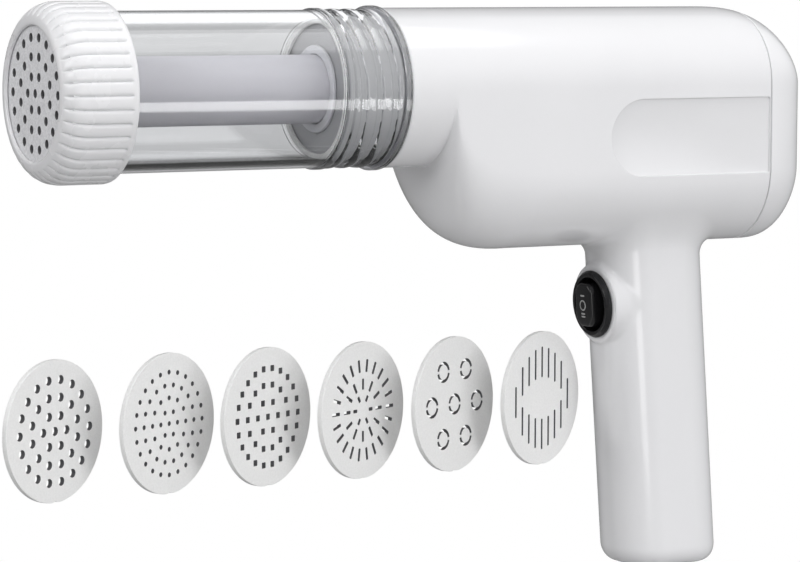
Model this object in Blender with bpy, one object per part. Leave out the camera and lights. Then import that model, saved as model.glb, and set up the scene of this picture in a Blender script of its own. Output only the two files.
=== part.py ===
"""Cordless cookie press: pistol-shaped dough extruder with a clear screw-on barrel.

Frame: metres, +Z up. The nozzle points to -X (front) and the rear cap to +X. The origin is on the
flat end face of the handle, whose lower end leans 4 degrees to the rear.
Dimensions are in millimetres and are scaled by MM where the mesh is made. The shapes are drawn
about the axis shared by barrel, plunger and lead screw, with x = 0 just in front of the housing's
mouth. The frame empty that holds them all then moves them to the origin.
"""

import math
from collections import namedtuple

import bmesh
import bpy
from mathutils import Matrix, Vector

MM = 0.001
GAP = 0.3  # play left between neighbouring pieces
SEG = 36  # facets round the barrel, cap and piston
ARC_POINTS = 11  # points on each half-round arc of the body and the gear plates

# Barrel and nozzle
TUBE_R, TUBE_BORE = 26.0, 23.2
TUBE_FRONT = -115.8
COLLAR_FRONT, COLLAR_REAR = -21.2, 2.9
COLLAR_R, COLLAR_BORE = 25.5, 24.0
FRONT_FLANGE_R, REAR_FLANGE_R = 26.6, 27.35
FRONT_FLANGE_REAR, REAR_FLANGE_FRONT = -18.3, 0.4
CAP_FRONT, CAP_REAR, CAP_R, CAP_OPEN_R = -120.2, -95.6, 29.2, 21.6
CAP_PLAY = 0.4  # radial play between the nozzle cap and the tube or the die
DIE_R, DIE_FRONT, DIE_REAR = 23.0, -118.9, -117.2
DIE_HOLE_R, DIE_PITCH = 1.45, 5.97
NOZZLE_GASKET_X, BARREL_GASKET_X = (-116.9, -116.1), (-20.7, -19.6)

# Plunger and drive
PISTON_FRONT, PISTON_REAR, PISTON_R = -115.6, -106.0, 22.8
GROOVE = (-112.9, -109.7)  # seal groove in the piston, front and rear
ROD_FRONT, ROD_REAR = PISTON_REAR + GAP, 8.0
ROD_R, ROD_BORE, ROD_HOLE_R = 11.36, 8.5, 2.4
SCREW_R, JOURNAL_R, SCREW_TIP, SCREW_END = 5.0, 3.9, -4.0, 122.0
SCREW_SHOULDER = 96.9
GEAR_MODULE, SCREW_TEETH, PINION_TEETH = 1.0, 40, 16
BACKLASH = 0.17  # taken off each tooth's thickness
MOTOR_Z = -(SCREW_TEETH + PINION_TEETH) * GEAR_MODULE / 2 - 0.1

# Gear train, as x ranges from front to rear
FRONT_PLATE = (99.0, 101.4)
REAR_PLATE = (115.6, 118.0)
SEAT_X = FRONT_PLATE[0] - GAP  # rear face of what stands against the front plate
SPACER_X = (FRONT_PLATE[1] + GAP, REAR_PLATE[0] - GAP)
BACK_X = REAR_PLATE[1] + GAP  # front face of what stands behind the rear plate
GEAR_X = (103.0, 109.5)
HUB_REAR = 111.0
TIES = [(side * 19.8, -14.0) for side in (-1, 1)]
GEARBOX_SCREWS = [(side * 11.6, MOTOR_Z) for side in (-1, 1)]

# Housing
BODY_R, WALL = 26.6, 2.4
BODY_DROP = -28.6  # height of the lower arc's centre at full depth
MOUTH_X, SEAM_X, REAR_X = 3.2, 145.1, 163.4
CROWN_X, HEEL_X = 127.0, 147.0  # where the top and the underside start to round off to the rear
CORNER = 15.0  # corner radius at the rear, seen from above
BELLY = ((19.5, -26.6), (21.5, -43.5), (26.5, -56.2), (52.0, -55.2))  # (x, z) Bezier, underside
BELLY_STEPS = (0.0, 0.1, 0.2, 0.31, 0.43, 0.56, 0.7, 0.85, 1.0)
CAP_STATIONS = (149.5, 153.5, 157.0, 159.6, 161.6, 162.8, 163.3)  # x along the rear cap
SNOUT_FRONT, SNOUT_REAR, SNOUT_R = -19.3, 7.7, 23.6
WEB = (8.0, 10.4)  # wall across the mouth, front and rear
SOCKET_SCREW_R = 20.6  # radius of the screws' pitch circle
POSTS_Z = (12.5, -40.0)
CAP_POST_ENDS = (159.6, 161.4)
PANEL_X, PANEL_Z, PANEL_HALF, PANEL_DEPTH = (79.9, 144.6), -17.4, 13.1, 0.8

# Handle
GRIP_LENGTH, GRIP_WIDTH, GRIP_CORNER = 39.1, 32.7, 14.0  # along x, along y, corner radius
GRIP_TOP_X, GRIP_TOP_Z = 109.85, -60.7  # a point on the handle's centre line
GRIP_LEAN = 0.0717  # rearward shift per unit of height
GRIP_BOTTOM = -167.6
GRIP_OUTER = (  # (z, inset)
    (-44.0, 0), (-62.0, 0), (-110.0, 0), (-161.0, 0), (-164.4, 0.9), (-166.6, 2.5),
    (GRIP_BOTTOM, 4.6),
)
GRIP_INNER = ((-47.0, 0), (-110.0, 0), (-162.0, 0), (-163.4, 1.2))  # (z, inset from the wall)
BASE_LENGTH, BASE_WIDTH, BASE_CORNER = 25.0, 18.6, 6.0  # opening in the handle's end
LEDGE_INSET = 1.5
FOOT_X = 109.0  # becomes the origin
SWITCH_Z, SWITCH_HOLE_R, BEZEL_R = -76.0, 10.2, 11.7
BOSS_X = -1.2  # face of the switch boss, along the switch axis
CELL_MID_Z, CELL_R, CELL_OFFSET = -129.3, 6.9, 7.3

# Loose discs
DISC_T, DISC_Z = 1.8, -107.6
DISC_TURN = math.radians(25)  # turn of each face from -Y towards +X
DISC_X = (-113.5, -73.3, -37.4, -1.8, 33.6, 68.3)
LOOSE_PITCH = 5.55

# ---------------------------------------------------------------- looks
Look = namedtuple("Look", "color roughness metallic alpha", defaults=(0.0, 1.0))

WHITE = (0.90, 0.90, 0.92)
STEEL = (0.62, 0.63, 0.65)
BLACK = (0.02, 0.02, 0.022)

# base colour, roughness, metallic, alpha
HELPER = Look((0.5, 0.5, 0.5), 0.4)
SHELL = Look(WHITE, 0.2)
TRIM = Look(WHITE, 0.25)
CLEAR = Look((0.92, 0.95, 0.96), 0.05, alpha=0.3)
SOCKET_GREY = Look((0.55, 0.55, 0.57), 0.5)
DIE = Look((0.70, 0.70, 0.72), 0.45, 0.2)
DISC = Look((0.78, 0.78, 0.77), 0.45)
NOZZLE_GASKET = Look((0.86, 0.86, 0.85), 0.6)
BARREL_GASKET = Look((0.88, 0.88, 0.86), 0.6)
BUSH = Look((0.74, 0.74, 0.77), 0.5)
PISTON = Look((0.80, 0.80, 0.82), 0.45)
SEAL = Look((0.75, 0.75, 0.74), 0.7)
PLUNGER = Look((0.78, 0.78, 0.82), 0.35)
SCREW = Look((0.55, 0.56, 0.58), 0.3, 1.0)
POLISHED_STEEL = Look(STEEL, 0.25, 1.0)
BRIGHT_STEEL = Look(STEEL, 0.3, 1.0)
PLATE_STEEL = Look(STEEL, 0.35, 1.0)
NUT = Look((0.75, 0.58, 0.28), 0.35, 1.0)
PINION = Look((0.72, 0.58, 0.32), 0.35, 1.0)
BUSHING = Look((0.70, 0.55, 0.30), 0.4, 1.0)
GEAR = Look((0.86, 0.84, 0.78), 0.5)
GEARBOX = Look((0.45, 0.45, 0.46), 0.4, 1.0)
MOTOR = Look((0.60, 0.60, 0.62), 0.25, 1.0)
SWITCH = Look(BLACK, 0.3)
ROCKER = Look(BLACK, 0.25)
TERMINAL = Look((0.75, 0.72, 0.60), 0.3, 1.0)
CELL = Look((0.10, 0.30, 0.62), 0.4)
BOARD = Look((0.05, 0.30, 0.14), 0.5)
RED_WIRE = Look((0.65, 0.05, 0.04), 0.5)
BLACK_WIRE = Look((0.03, 0.03, 0.03), 0.5)


def material(name, look):
    mat = bpy.data.materials.new(name)
    mat.use_nodes = True
    shader = mat.node_tree.nodes["Principled BSDF"]
    shader.inputs["Base Color"].default_value = (*look.color, 1)
    shader.inputs["Roughness"].default_value = look.roughness
    shader.inputs["Metallic"].default_value = look.metallic
    shader.inputs["Alpha"].default_value = look.alpha
    mat.diffuse_color = (*look.color, look.alpha)
    return mat


# ---------------------------------------------------------------- scene
for old in list(bpy.data.objects):
    bpy.data.objects.remove(old, do_unlink=True)

scene = bpy.context.scene
scene.unit_settings.system = "METRIC"
root = bpy.data.objects.new("press_frame", None)
scene.collection.objects.link(root)
root.location = (-FOOT_X * MM, 0, -GRIP_BOTTOM * MM)


def add_object(name, data, look):
    """Links an object under the frame empty, with its own material."""
    obj = bpy.data.objects.new(name, data)
    obj.parent = root
    scene.collection.objects.link(obj)
    data.materials.append(material(name, look))
    return obj


def finish(name, bm, look, smooth=35, origin=(0, 0, 0)):
    """Turns a bmesh in millimetres into an object in metres; smooth is the sharp-edge angle."""
    bmesh.ops.recalc_face_normals(bm, faces=bm.faces)
    base = Vector(origin)
    to_metres = Matrix.Scale(MM, 4) @ Matrix.Translation(-base)
    bmesh.ops.transform(bm, matrix=to_metres, verts=bm.verts)
    mesh = bpy.data.meshes.new(name)
    bm.to_mesh(mesh)
    bm.free()
    mesh.shade_smooth()
    mesh.set_sharp_from_angle(angle=math.radians(smooth))
    obj = add_object(name, mesh, look)
    obj.location = base * MM
    return obj


def boolean(obj, name, bm, operation, solver):
    """Applies a bmesh to obj through a helper object that is left out of the render."""
    helper = finish(name, bm, HELPER)
    helper.hide_render = True
    helper.display_type = "WIRE"
    mod = obj.modifiers.new(name, "BOOLEAN")
    mod.operation = operation
    mod.object = helper
    mod.solver = solver


def cut(obj, name, bm, solver="EXACT"):
    boolean(obj, name, bm, "DIFFERENCE", solver)


def join(obj, name, bm, solver="EXACT"):
    boolean(obj, name, bm, "UNION", solver)


# ---------------------------------------------------------------- outlines in a plane
def polar(radius, angle, y=0.0, z=0.0):
    """(y, z) of a point at a radius and angle from a centre."""
    return (y + radius * math.cos(angle), z + radius * math.sin(angle))


def circle(radius, count, y=0.0, z=0.0, phase=0.0):
    return [polar(radius, phase + 2 * math.pi * i / count, y, z) for i in range(count)]


def angles(count, shift=0.0):
    """Equal divisions of a full turn, shifted by a fraction of one division."""
    return [2 * math.pi * (i + shift) / count for i in range(count)]


def rounded_rect(width, height, corner, count=5):
    """Rectangle about the centre, with count points on each corner."""
    pts = []
    for k, (sx, sy) in enumerate(((1, 1), (-1, 1), (-1, -1), (1, -1))):
        for i in range(count):
            angle = math.pi / 2 * (k + i / (count - 1))
            x = sx * (width / 2 - corner) + corner * math.cos(angle)
            y = sy * (height / 2 - corner) + corner * math.sin(angle)
            pts.append((x, y))
    return pts


def bezier(points, t):
    s = 1 - t
    weights = (s**3, 3 * s * s * t, 3 * s * t * t, t**3)
    return tuple(sum(weights[i] * points[i][k] for i in range(4)) for k in range(2))


HALF_TURN = [math.pi * i / (ARC_POINTS - 1) for i in range(ARC_POINTS)]
SOCKET_SCREWS = [
    polar(SOCKET_SCREW_R, angle) for angle in (math.pi / 2, math.pi * 7 / 6, math.pi * 11 / 6)
]


# ---------------------------------------------------------------- solids
def loop_pairs(items):
    """Each item with the next one round a closed loop."""
    return list(zip(items, items[1:] + items[:1]))


def turned(profile, steps=SEG, centre=(0.0, 0.0)):
    """Solid of revolution about a line parallel to X through (y, z) = centre.

    The profile is a closed loop of (x, r); its edges on the axis are left out.
    """
    bm = bmesh.new()
    verts = [bm.verts.new((x, 0, r)) for x, r in profile]
    edges = [bm.edges.new((a, b)) for a, b in loop_pairs(verts) if a.co.z > 0 or b.co.z > 0]
    bmesh.ops.spin(
        bm, geom=verts + edges, cent=(0, 0, 0), axis=(1, 0, 0),
        angle=2 * math.pi, steps=steps, use_merge=True,
    )
    bmesh.ops.remove_doubles(bm, verts=bm.verts, dist=1e-4)
    return placed(bm, Matrix.Translation((0, *centre)))


def tube(x0, x1, r_in, r_out, steps=24, centre=(0.0, 0.0)):
    return turned([(x0, r_in), (x0, r_out), (x1, r_out), (x1, r_in)], steps, centre)


def rod(x0, x1, radius, steps=16, centre=(0.0, 0.0)):
    return turned([(x0, 0), (x0, radius), (x1, radius), (x1, 0)], steps, centre)


def box(low, high):
    bm = bmesh.new()
    bmesh.ops.create_cube(bm, size=1)
    middle = [(a + b) / 2 for a, b in zip(low, high)]
    size = [b - a for a, b in zip(low, high)]
    return placed(bm, Matrix.Translation(middle) @ Matrix.Diagonal(size + [1]))


def plate(outlines, x0, x1):
    """Plate with holes: closed (y, z) outlines, the outer one first, extruded from x0 to x1."""
    bm = bmesh.new()
    edges = []
    for outline in outlines:
        verts = [bm.verts.new((x0, y, z)) for y, z in outline]
        edges += [bm.edges.new(pair) for pair in loop_pairs(verts)]
    bmesh.ops.triangle_fill(bm, use_beauty=True, edges=edges)
    made = bmesh.ops.extrude_face_region(bm, geom=bm.faces[:])
    moved = [item for item in made["geom"] if isinstance(item, bmesh.types.BMVert)]
    bmesh.ops.translate(bm, verts=moved, vec=(x1 - x0, 0, 0))
    return bm


def pierced_disc(holes, x0, x1):
    return plate([circle(DIE_R, 28)] + holes, x0, x1)


def loft(sections):
    """Joins equal loops of points with quads and closes both ends."""
    bm = bmesh.new()
    rings = [[bm.verts.new(point) for point in section] for section in sections]
    for ring, following in zip(rings, rings[1:]):
        for (a, a_next), (b, b_next) in zip(loop_pairs(ring), loop_pairs(following)):
            bm.faces.new((a, a_next, b_next, b))
    bm.faces.new(rings[0])
    bm.faces.new(rings[-1])
    return bm


def placed(bm, matrix):
    bmesh.ops.transform(bm, matrix=matrix, verts=bm.verts)
    return bm


def screw(name, x_head, x_tip, r_head, r_shank, head_height, centre=(0.0, 0.0)):
    """A pan-head screw whose head faces away from its tip; x_head is under the head."""
    out = 1 if x_head > x_tip else -1
    top = x_head + out * head_height
    profile = [
        (top, 0), (top, r_head * 0.72), (x_head + out * head_height * 0.55, r_head),
        (x_head, r_head), (x_head, r_shank), (x_tip + out * 0.5, r_shank),
        (x_tip, r_shank * 0.6), (x_tip, 0),
    ]
    finish(name, turned(profile, 10, centre), SCREW, origin=(x_head, *centre))


# ---------------------------------------------------------------- nozzle and barrel
def round_hole_pattern(pitch):
    """Round holes: one in the middle, then rings of 6, 12 and 18."""
    holes = [circle(DIE_HOLE_R, 6)]
    for k in (1, 2, 3):
        for angle in angles(6 * k, 0.5 if k == 2 else 0.0):
            holes.append(circle(DIE_HOLE_R, 6, *polar(pitch * k, angle)))
    return holes


def build_nozzle():
    tube_r = TUBE_R + CAP_PLAY
    die_r = DIE_R + CAP_PLAY
    cap = [  # (x, r)
        (CAP_FRONT, CAP_OPEN_R), (CAP_FRONT, 22.9), (-119.0, 25.7), (-116.6, 27.9),
        (-112.6, CAP_R), (-97.0, CAP_R), (CAP_REAR, 28.3), (CAP_REAR, tube_r),
        (-117.3, tube_r), (-117.3, die_r), (-119.2, die_r), (-119.2, CAP_OPEN_R),
    ]
    finish("nozzle_cap", turned(cap), TRIM, origin=(CAP_FRONT, 0, 0))
    die = pierced_disc(round_hole_pattern(DIE_PITCH), DIE_REAR, DIE_FRONT)
    finish("fitted_die", die, DIE, smooth=30, origin=(DIE_REAR, 0, 0))
    gasket = tube(*NOZZLE_GASKET_X, 21.9, 25.9, SEG)
    finish("nozzle_gasket", gasket, NOZZLE_GASKET, origin=(NOZZLE_GASKET_X[1], 0, 0))


def build_barrel():
    """Clear tube with a flanged collar at its rear end."""
    barrel = [  # (x, r)
        (TUBE_FRONT, TUBE_BORE), (TUBE_FRONT, TUBE_R), (COLLAR_FRONT, TUBE_R),
        (COLLAR_FRONT, FRONT_FLANGE_R), (FRONT_FLANGE_REAR, FRONT_FLANGE_R),
        (FRONT_FLANGE_REAR, COLLAR_R), (REAR_FLANGE_FRONT, COLLAR_R),
        (REAR_FLANGE_FRONT, REAR_FLANGE_R), (COLLAR_REAR, REAR_FLANGE_R),
        (COLLAR_REAR, COLLAR_BORE), (-21.0, COLLAR_BORE), (-21.0, TUBE_BORE),
    ]
    finish("barrel", turned(barrel), CLEAR, origin=(COLLAR_REAR, 0, 0))
    gasket = tube(*BARREL_GASKET_X, 21.5, 23.6, SEG)
    finish("barrel_gasket", gasket, BARREL_GASKET, origin=(BARREL_GASKET_X[0], 0, 0))


def build_barrel_socket():
    """Snout that the barrel screws on to, with the screws that hold it to the housing's web."""
    profile = [  # (x, r)
        (SNOUT_FRONT, 12.6), (SNOUT_FRONT, SNOUT_R), (SNOUT_REAR, SNOUT_R), (SNOUT_REAR, 17.5),
        (1.7, 17.5), (1.7, 21.2), (-16.8, 21.2), (-16.8, 14.8), (-12.0, 14.8), (-12.0, 12.6),
    ]
    snout = finish("barrel_socket", turned(profile), SOCKET_GREY)
    for i, centre in enumerate(SOCKET_SCREWS):
        cut(snout, f"socket_hole_{i}", rod(2.6, 9.0, 1.6, 8, centre))
        screw(f"socket_screw_{i + 1}", WEB[1] + GAP, 3.2, 2.6, 1.25, 2.0, centre)


# ---------------------------------------------------------------- plunger
def build_plunger_bush():
    """Guide bush; its tongue runs in the plunger's keyway and stops it from turning."""
    profile = [  # (x, r)
        (-20.6, 11.6), (-20.6, 14.5), (-19.6, 14.5), (-19.6, 12.3), (-11.4, 12.3), (-11.4, 11.6),
    ]
    bush = finish("plunger_bush", turned(profile), BUSH)
    join(bush, "bush_tongue", box((-19.2, 10.75, -1.1), (-12.0, 11.95, 1.1)))


def build_piston():
    profile = [  # (x, r)
        (PISTON_FRONT, 4.4), (PISTON_FRONT, 21.8), (-114.6, PISTON_R), (GROOVE[0], PISTON_R),
        (GROOVE[0], 20.4), (GROOVE[1], 20.4), (GROOVE[1], PISTON_R), (-106.8, PISTON_R),
        (PISTON_REAR, 22.0), (PISTON_REAR, 2.5), (-112.6, 2.5), (-112.6, 4.4),
    ]
    finish("piston", turned(profile), PISTON, origin=(PISTON_FRONT, 0, 0))
    seal = [  # (x, r)
        (-112.6, 20.7), (-112.6, 22.0), (-111.9, 22.95),
        (-110.7, 22.95), (-110.0, 22.0), (-110.0, 20.7),
    ]
    finish("piston_seal", turned(seal), SEAL)
    screw("piston_screw", -112.9, -103.2, 4.0, 1.9, 2.2)


def build_plunger_tube():
    profile = [  # (x, r)
        (ROD_FRONT, ROD_HOLE_R), (ROD_FRONT, ROD_R), (ROD_REAR, ROD_R), (ROD_REAR, ROD_BORE),
        (-101.0, ROD_BORE), (-101.0, ROD_HOLE_R),
    ]
    plunger = finish("plunger_tube", turned(profile), PLUNGER, origin=(ROD_FRONT, 0, 0))
    cut(plunger, "keyway", box((-104.8, 10.3, -1.5), (ROD_REAR + 2, 13.0, 1.5)))
    nut = [(-6.0, 5.4), (-6.0, 8.2), (8.3, 8.2), (8.3, 11.0), (11.3, 11.0), (11.3, 5.4)]
    finish("drive_nut", turned(nut, 24), NUT)


# ---------------------------------------------------------------- lead screw and gears
def build_lead_screw():
    profile = [  # (x, r)
        (SCREW_TIP, 0), (SCREW_TIP, 3.8), (SCREW_TIP + 1.5, SCREW_R), (SCREW_SHOULDER, SCREW_R),
        (SCREW_SHOULDER, JOURNAL_R), (SCREW_END - 1, JOURNAL_R), (SCREW_END, 3.0), (SCREW_END, 0),
    ]
    finish("lead_screw", turned(profile, 20), BRIGHT_STEEL)
    bushing = [(97.2, 4.2), (97.2, 7.6), (SEAT_X, 7.6), (SEAT_X, 6.0), (101.7, 6.0), (101.7, 4.2)]
    finish("screw_bushing", turned(bushing, 20), BUSHING)
    bearing = [  # (x, r)
        (111.3, 4.3), (111.3, 9.4), (113.0, 9.4), (113.0, 8.8),
        (113.6, 8.8), (113.6, 9.4), (115.3, 9.4), (115.3, 4.3),
    ]
    finish("thrust_bearing", turned(bearing, 20), POLISHED_STEEL)
    finish("retaining_ring", tube(BACK_X, 119.5, 4.2, 6.6, 16), PLATE_STEEL)


def gear_outline(teeth, phase=0.0):
    """Gear teeth, 20 degree pressure angle, with a straight flank between two involute points.

    For tooth counts whose base circle lies outside the root circle.
    """
    pitch_r = GEAR_MODULE * teeth / 2
    base_r = pitch_r * math.cos(math.radians(20))
    root_r = pitch_r - 1.25 * GEAR_MODULE
    tip_r = pitch_r + 0.95 * GEAR_MODULE

    def involute(radius):
        angle = math.acos(base_r / radius)
        return math.tan(angle) - angle

    base_half = math.pi / (2 * teeth) - BACKLASH / (2 * pitch_r) + involute(pitch_r)
    flank = [(root_r, base_half), (base_r, base_half), (tip_r, base_half - involute(tip_r))]
    pts = []
    for k in range(teeth):
        middle = phase + 2 * math.pi * k / teeth
        pts += [polar(radius, middle - half) for radius, half in flank]
        pts += [polar(radius, middle + half) for radius, half in reversed(flank)]
    return pts


def build_gears():
    bore = JOURNAL_R + GAP
    teeth = plate([gear_outline(SCREW_TEETH), circle(bore, 20)], *GEAR_X)
    gear = finish("screw_gear", teeth, GEAR)
    join(gear, "gear_hub", tube(102.0, HUB_REAR, bore, 9.0, 20))
    phase = math.pi / PINION_TEETH + math.pi / 2  # a gap faces the screw gear
    outline = [(y, z + MOTOR_Z) for y, z in gear_outline(PINION_TEETH, phase)]
    origin = (GEAR_X[0], 0, MOTOR_Z)
    pinion = finish("motor_pinion", plate([outline], *GEAR_X), PINION, origin=origin)
    join(pinion, "pinion_shaft", rod(93.6, HUB_REAR, 2.6, 14, (0, MOTOR_Z)))


def build_gear_plates():
    """Two steel plates with half-round ends, held apart by spacers."""
    outline = [polar(23.7, angle) for angle in HALF_TURN]
    outline += [polar(23.7, math.pi + angle, z=BODY_DROP) for angle in HALF_TURN]
    tie_holes = [circle(1.8, 8, *tie) for tie in TIES]
    front_holes = [circle(6.3, 20), circle(4.4, 14, 0, MOTOR_Z)] + tie_holes
    front_holes += [circle(1.6, 8, *centre) for centre in GEARBOX_SCREWS]
    front_holes += [circle(2.0, 8, side * 5.0, -48.1) for side in (-1, 1)]
    finish("front_gear_plate", plate([outline] + front_holes, *FRONT_PLATE), PLATE_STEEL)
    rear = plate([outline, circle(5.0, 16)] + tie_holes, *REAR_PLATE)
    rear_plate = finish("rear_gear_plate", rear, PLATE_STEEL)
    post = [(116.0, 0), (116.0, 3.3), (140.5, 3.3), (140.5, 1.7), (127.0, 1.7), (127.0, 0)]
    for i, z in enumerate(POSTS_Z):
        join(rear_plate, f"plate_post_{i}", turned(post, 12, (0, z)), "MANIFOLD")
    for i, tie in enumerate(TIES, 1):
        finish(f"plate_spacer_{i}", tube(*SPACER_X, 1.85, 2.8, 10, tie), PLATE_STEEL)
        screw(f"tie_screw_{i}", BACK_X, 92.6, 2.9, 1.4, 2.2, tie)


def build_motor():
    centre = (0, MOTOR_Z)
    case = [  # (x, r)
        (68.6, 0), (68.6, 13.2), (69.4, 14.0), (SEAT_X, 14.0),
        (SEAT_X, 3.0), (93.0, 3.0), (93.0, 0),
    ]
    gearbox = finish("gearbox", turned(case, 28, centre), GEARBOX)
    for i, screw_centre in enumerate(GEARBOX_SCREWS):
        cut(gearbox, f"gearbox_hole_{i}", rod(94.8, 100.0, 1.55, 8, screw_centre))
        screw(f"gearbox_screw_{i + 1}", SPACER_X[0], 95.6, 2.2, 1.2, 1.3, screw_centre)
    can = [  # (x, r)
        (30.0, 0), (30.0, 4.6), (32.0, 4.6), (32.0, 12.4),
        (33.4, 13.8), (66.8, 13.8), (68.3, 12.6), (68.3, 0),
    ]
    finish("motor", turned(can, 28, centre), MOTOR)


# ---------------------------------------------------------------- body sections
def body_section(x, half, up, down):
    """Elliptical arcs over z = 0 and above the underside, with straight sides between them.

    The lower arc is centred at BODY_DROP, or higher where the body is not yet at full depth.
    """
    low = max(BODY_DROP, down + half) if down > BODY_DROP - half else BODY_DROP
    pts = [(x, half * math.cos(a), up * math.sin(a)) for a in HALF_TURN]
    pts += [(x, -half * math.cos(a), low - (low - down) * math.sin(a)) for a in HALF_TURN]
    return pts


def rear_rounding(x):
    """(half width, top, underside) of the outer skin behind the crown."""
    top = max(0.0, (x - CROWN_X) / (REAR_X - CROWN_X))
    heel = max(0.0, (x - HEEL_X) / (REAR_X - HEEL_X))
    corner = max(0.0, (x - REAR_X + CORNER) / CORNER)
    half = BODY_R - CORNER * (1 - math.sqrt(max(0.0, 1 - corner * corner)))
    up = BODY_R * math.sqrt(max(0.0, 1 - top**3.3))
    down = BODY_DROP - BODY_R * math.sqrt(max(0.0, 1 - heel**3.4))
    return half, up, down


def rear_section(x, inset, skin_x):
    """Section at x with the outer skin's shape at skin_x, drawn in by inset."""
    half, up, down = rear_rounding(skin_x)
    return body_section(x, half - inset, max(up - inset, 1.0), min(down + inset, BODY_DROP - 1.0))


def body_sections(inset, x_first, x_last):
    """From the round mouth, down round the belly to full depth and back to the seam."""
    radius = BODY_R - inset
    out = [body_section(x_first, radius, radius, -radius)]
    for t in BELLY_STEPS:
        x, z = bezier(BELLY, t)
        drop = min(0.0, z + BODY_R)
        out.append(body_section(x + inset, radius, radius, drop - radius))
    for x in (CROWN_X, 134.5, 140.5, x_last):
        out.append(rear_section(x, inset, min(x, SEAM_X)))
    return out


# ---------------------------------------------------------------- handle frames and sections
def grip_x(z):
    """x of the handle's centre line at a height."""
    return GRIP_TOP_X + (GRIP_TOP_Z - z) * GRIP_LEAN


def grip_section(z, inset):
    corner = max(GRIP_CORNER - inset, 3.0)
    outline = rounded_rect(GRIP_LENGTH - 2 * inset, GRIP_WIDTH - 2 * inset, corner)
    return [(grip_x(z) + x, y, z) for x, y in outline]


BASE_X = grip_x(GRIP_BOTTOM)


def base_block(length, width, corner, *heights):
    """Upright rounded block about the centre of the handle's end face."""
    outline = rounded_rect(length, width, corner)
    return loft([[(BASE_X + x, y, z) for x, y in outline] for z in heights])


# The switch axis is the local X, pointing into the handle; local x = 0 is on the handle's front.
# In the cells' frame the local X runs down the handle and the local Z points to the rear.
LEAN = Matrix.Rotation(-math.atan(GRIP_LEAN), 4, "Y")
SWITCH_FRAME = Matrix.Translation((grip_x(SWITCH_Z) - GRIP_LENGTH / 2, 0, SWITCH_Z)) @ LEAN
CELL_FRAME = (
    Matrix.Translation((grip_x(CELL_MID_Z), 0, CELL_MID_Z))
    @ LEAN
    @ Matrix.Rotation(math.pi / 2, 4, "Y")
)


# ---------------------------------------------------------------- housing
def build_housing():
    housing = finish("housing", loft(body_sections(0.0, MOUTH_X, SEAM_X)), SHELL, smooth=40)
    join(housing, "grip_outer", loft([grip_section(z, inset) for z, inset in GRIP_OUTER]))
    boss = [(BOSS_X, 0), (BOSS_X, 13.0), (BOSS_X + 0.9, 13.9), (9.0, 13.9), (9.0, 0)]
    join(housing, "switch_boss", placed(turned(boss, 28), SWITCH_FRAME))
    hollow_housing(housing)
    add_tie_bosses(housing)
    cut_panel(housing)
    for i, centre in enumerate(SOCKET_SCREWS):
        cut(housing, f"web_hole_{i}", rod(WEB[0] - 1, WEB[1] + 1, 1.6, 8, centre), "MANIFOLD")


def hollow_housing(housing):
    cut(housing, "body_cavity", loft(body_sections(WALL, WEB[1], SEAM_X + 4)))
    cavity = loft([grip_section(z, inset + WALL) for z, inset in GRIP_INNER])
    cut(housing, "grip_cavity", cavity)
    ledge_size = (BASE_LENGTH - 2 * LEDGE_INSET, BASE_WIDTH - 2 * LEDGE_INSET)
    ledge = base_block(*ledge_size, BASE_CORNER - LEDGE_INSET, -160.6, -165.2)
    cut(housing, "base_ledge", ledge)
    opening = base_block(BASE_LENGTH, BASE_WIDTH, BASE_CORNER, -164.9, GRIP_BOTTOM - 2)
    cut(housing, "base_opening", opening)
    cut(housing, "mouth_bore", rod(MOUTH_X - 2, WEB[0], SNOUT_R + GAP, SEG))
    cut(housing, "web_bore", rod(WEB[0] - 1, WEB[1] + 1, 17.0, 32), "MANIFOLD")
    switch_hole = placed(rod(-6, 16, SWITCH_HOLE_R, 24), SWITCH_FRAME)
    cut(housing, "switch_hole", switch_hole, "MANIFOLD")


def add_tie_bosses(housing):
    """Drilled bosses on the side walls for the tie screws."""
    outline = (  # (y, height above the screw)
        (25.2, 4.4), (19.4, 4.4), (16.2, 2.2), (16.2, -2.2), (19.4, -4.4), (25.2, -4.4),
    )
    for i, side in enumerate((-1, 1)):
        tie = TIES[i]
        boss = loft([[(x, side * y, z + tie[1]) for y, z in outline] for x in (90.0, SEAT_X)])
        join(housing, f"tie_boss_{i}", boss, "MANIFOLD")
        cut(housing, f"tie_hole_{i}", rod(91.5, 100.0, 1.75, 8, tie), "MANIFOLD")


def cut_panel(housing):
    """Shallow D-shaped recess on the -Y side, round at its front end."""
    front, rear = PANEL_X
    outline = []
    for i in range(13):
        angle = math.pi * i / 12
        x = front + PANEL_HALF - PANEL_HALF * math.sin(angle)
        outline.append((x, PANEL_Z + PANEL_HALF * math.cos(angle)))
    outline += [(rear, PANEL_Z - PANEL_HALF), (rear, PANEL_Z + PANEL_HALF)]
    recess = loft([[(x, y, z) for x, z in outline] for y in (-BODY_R - 3, -BODY_R + PANEL_DEPTH)])
    cut(housing, "panel_recess", recess, "MANIFOLD")


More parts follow.
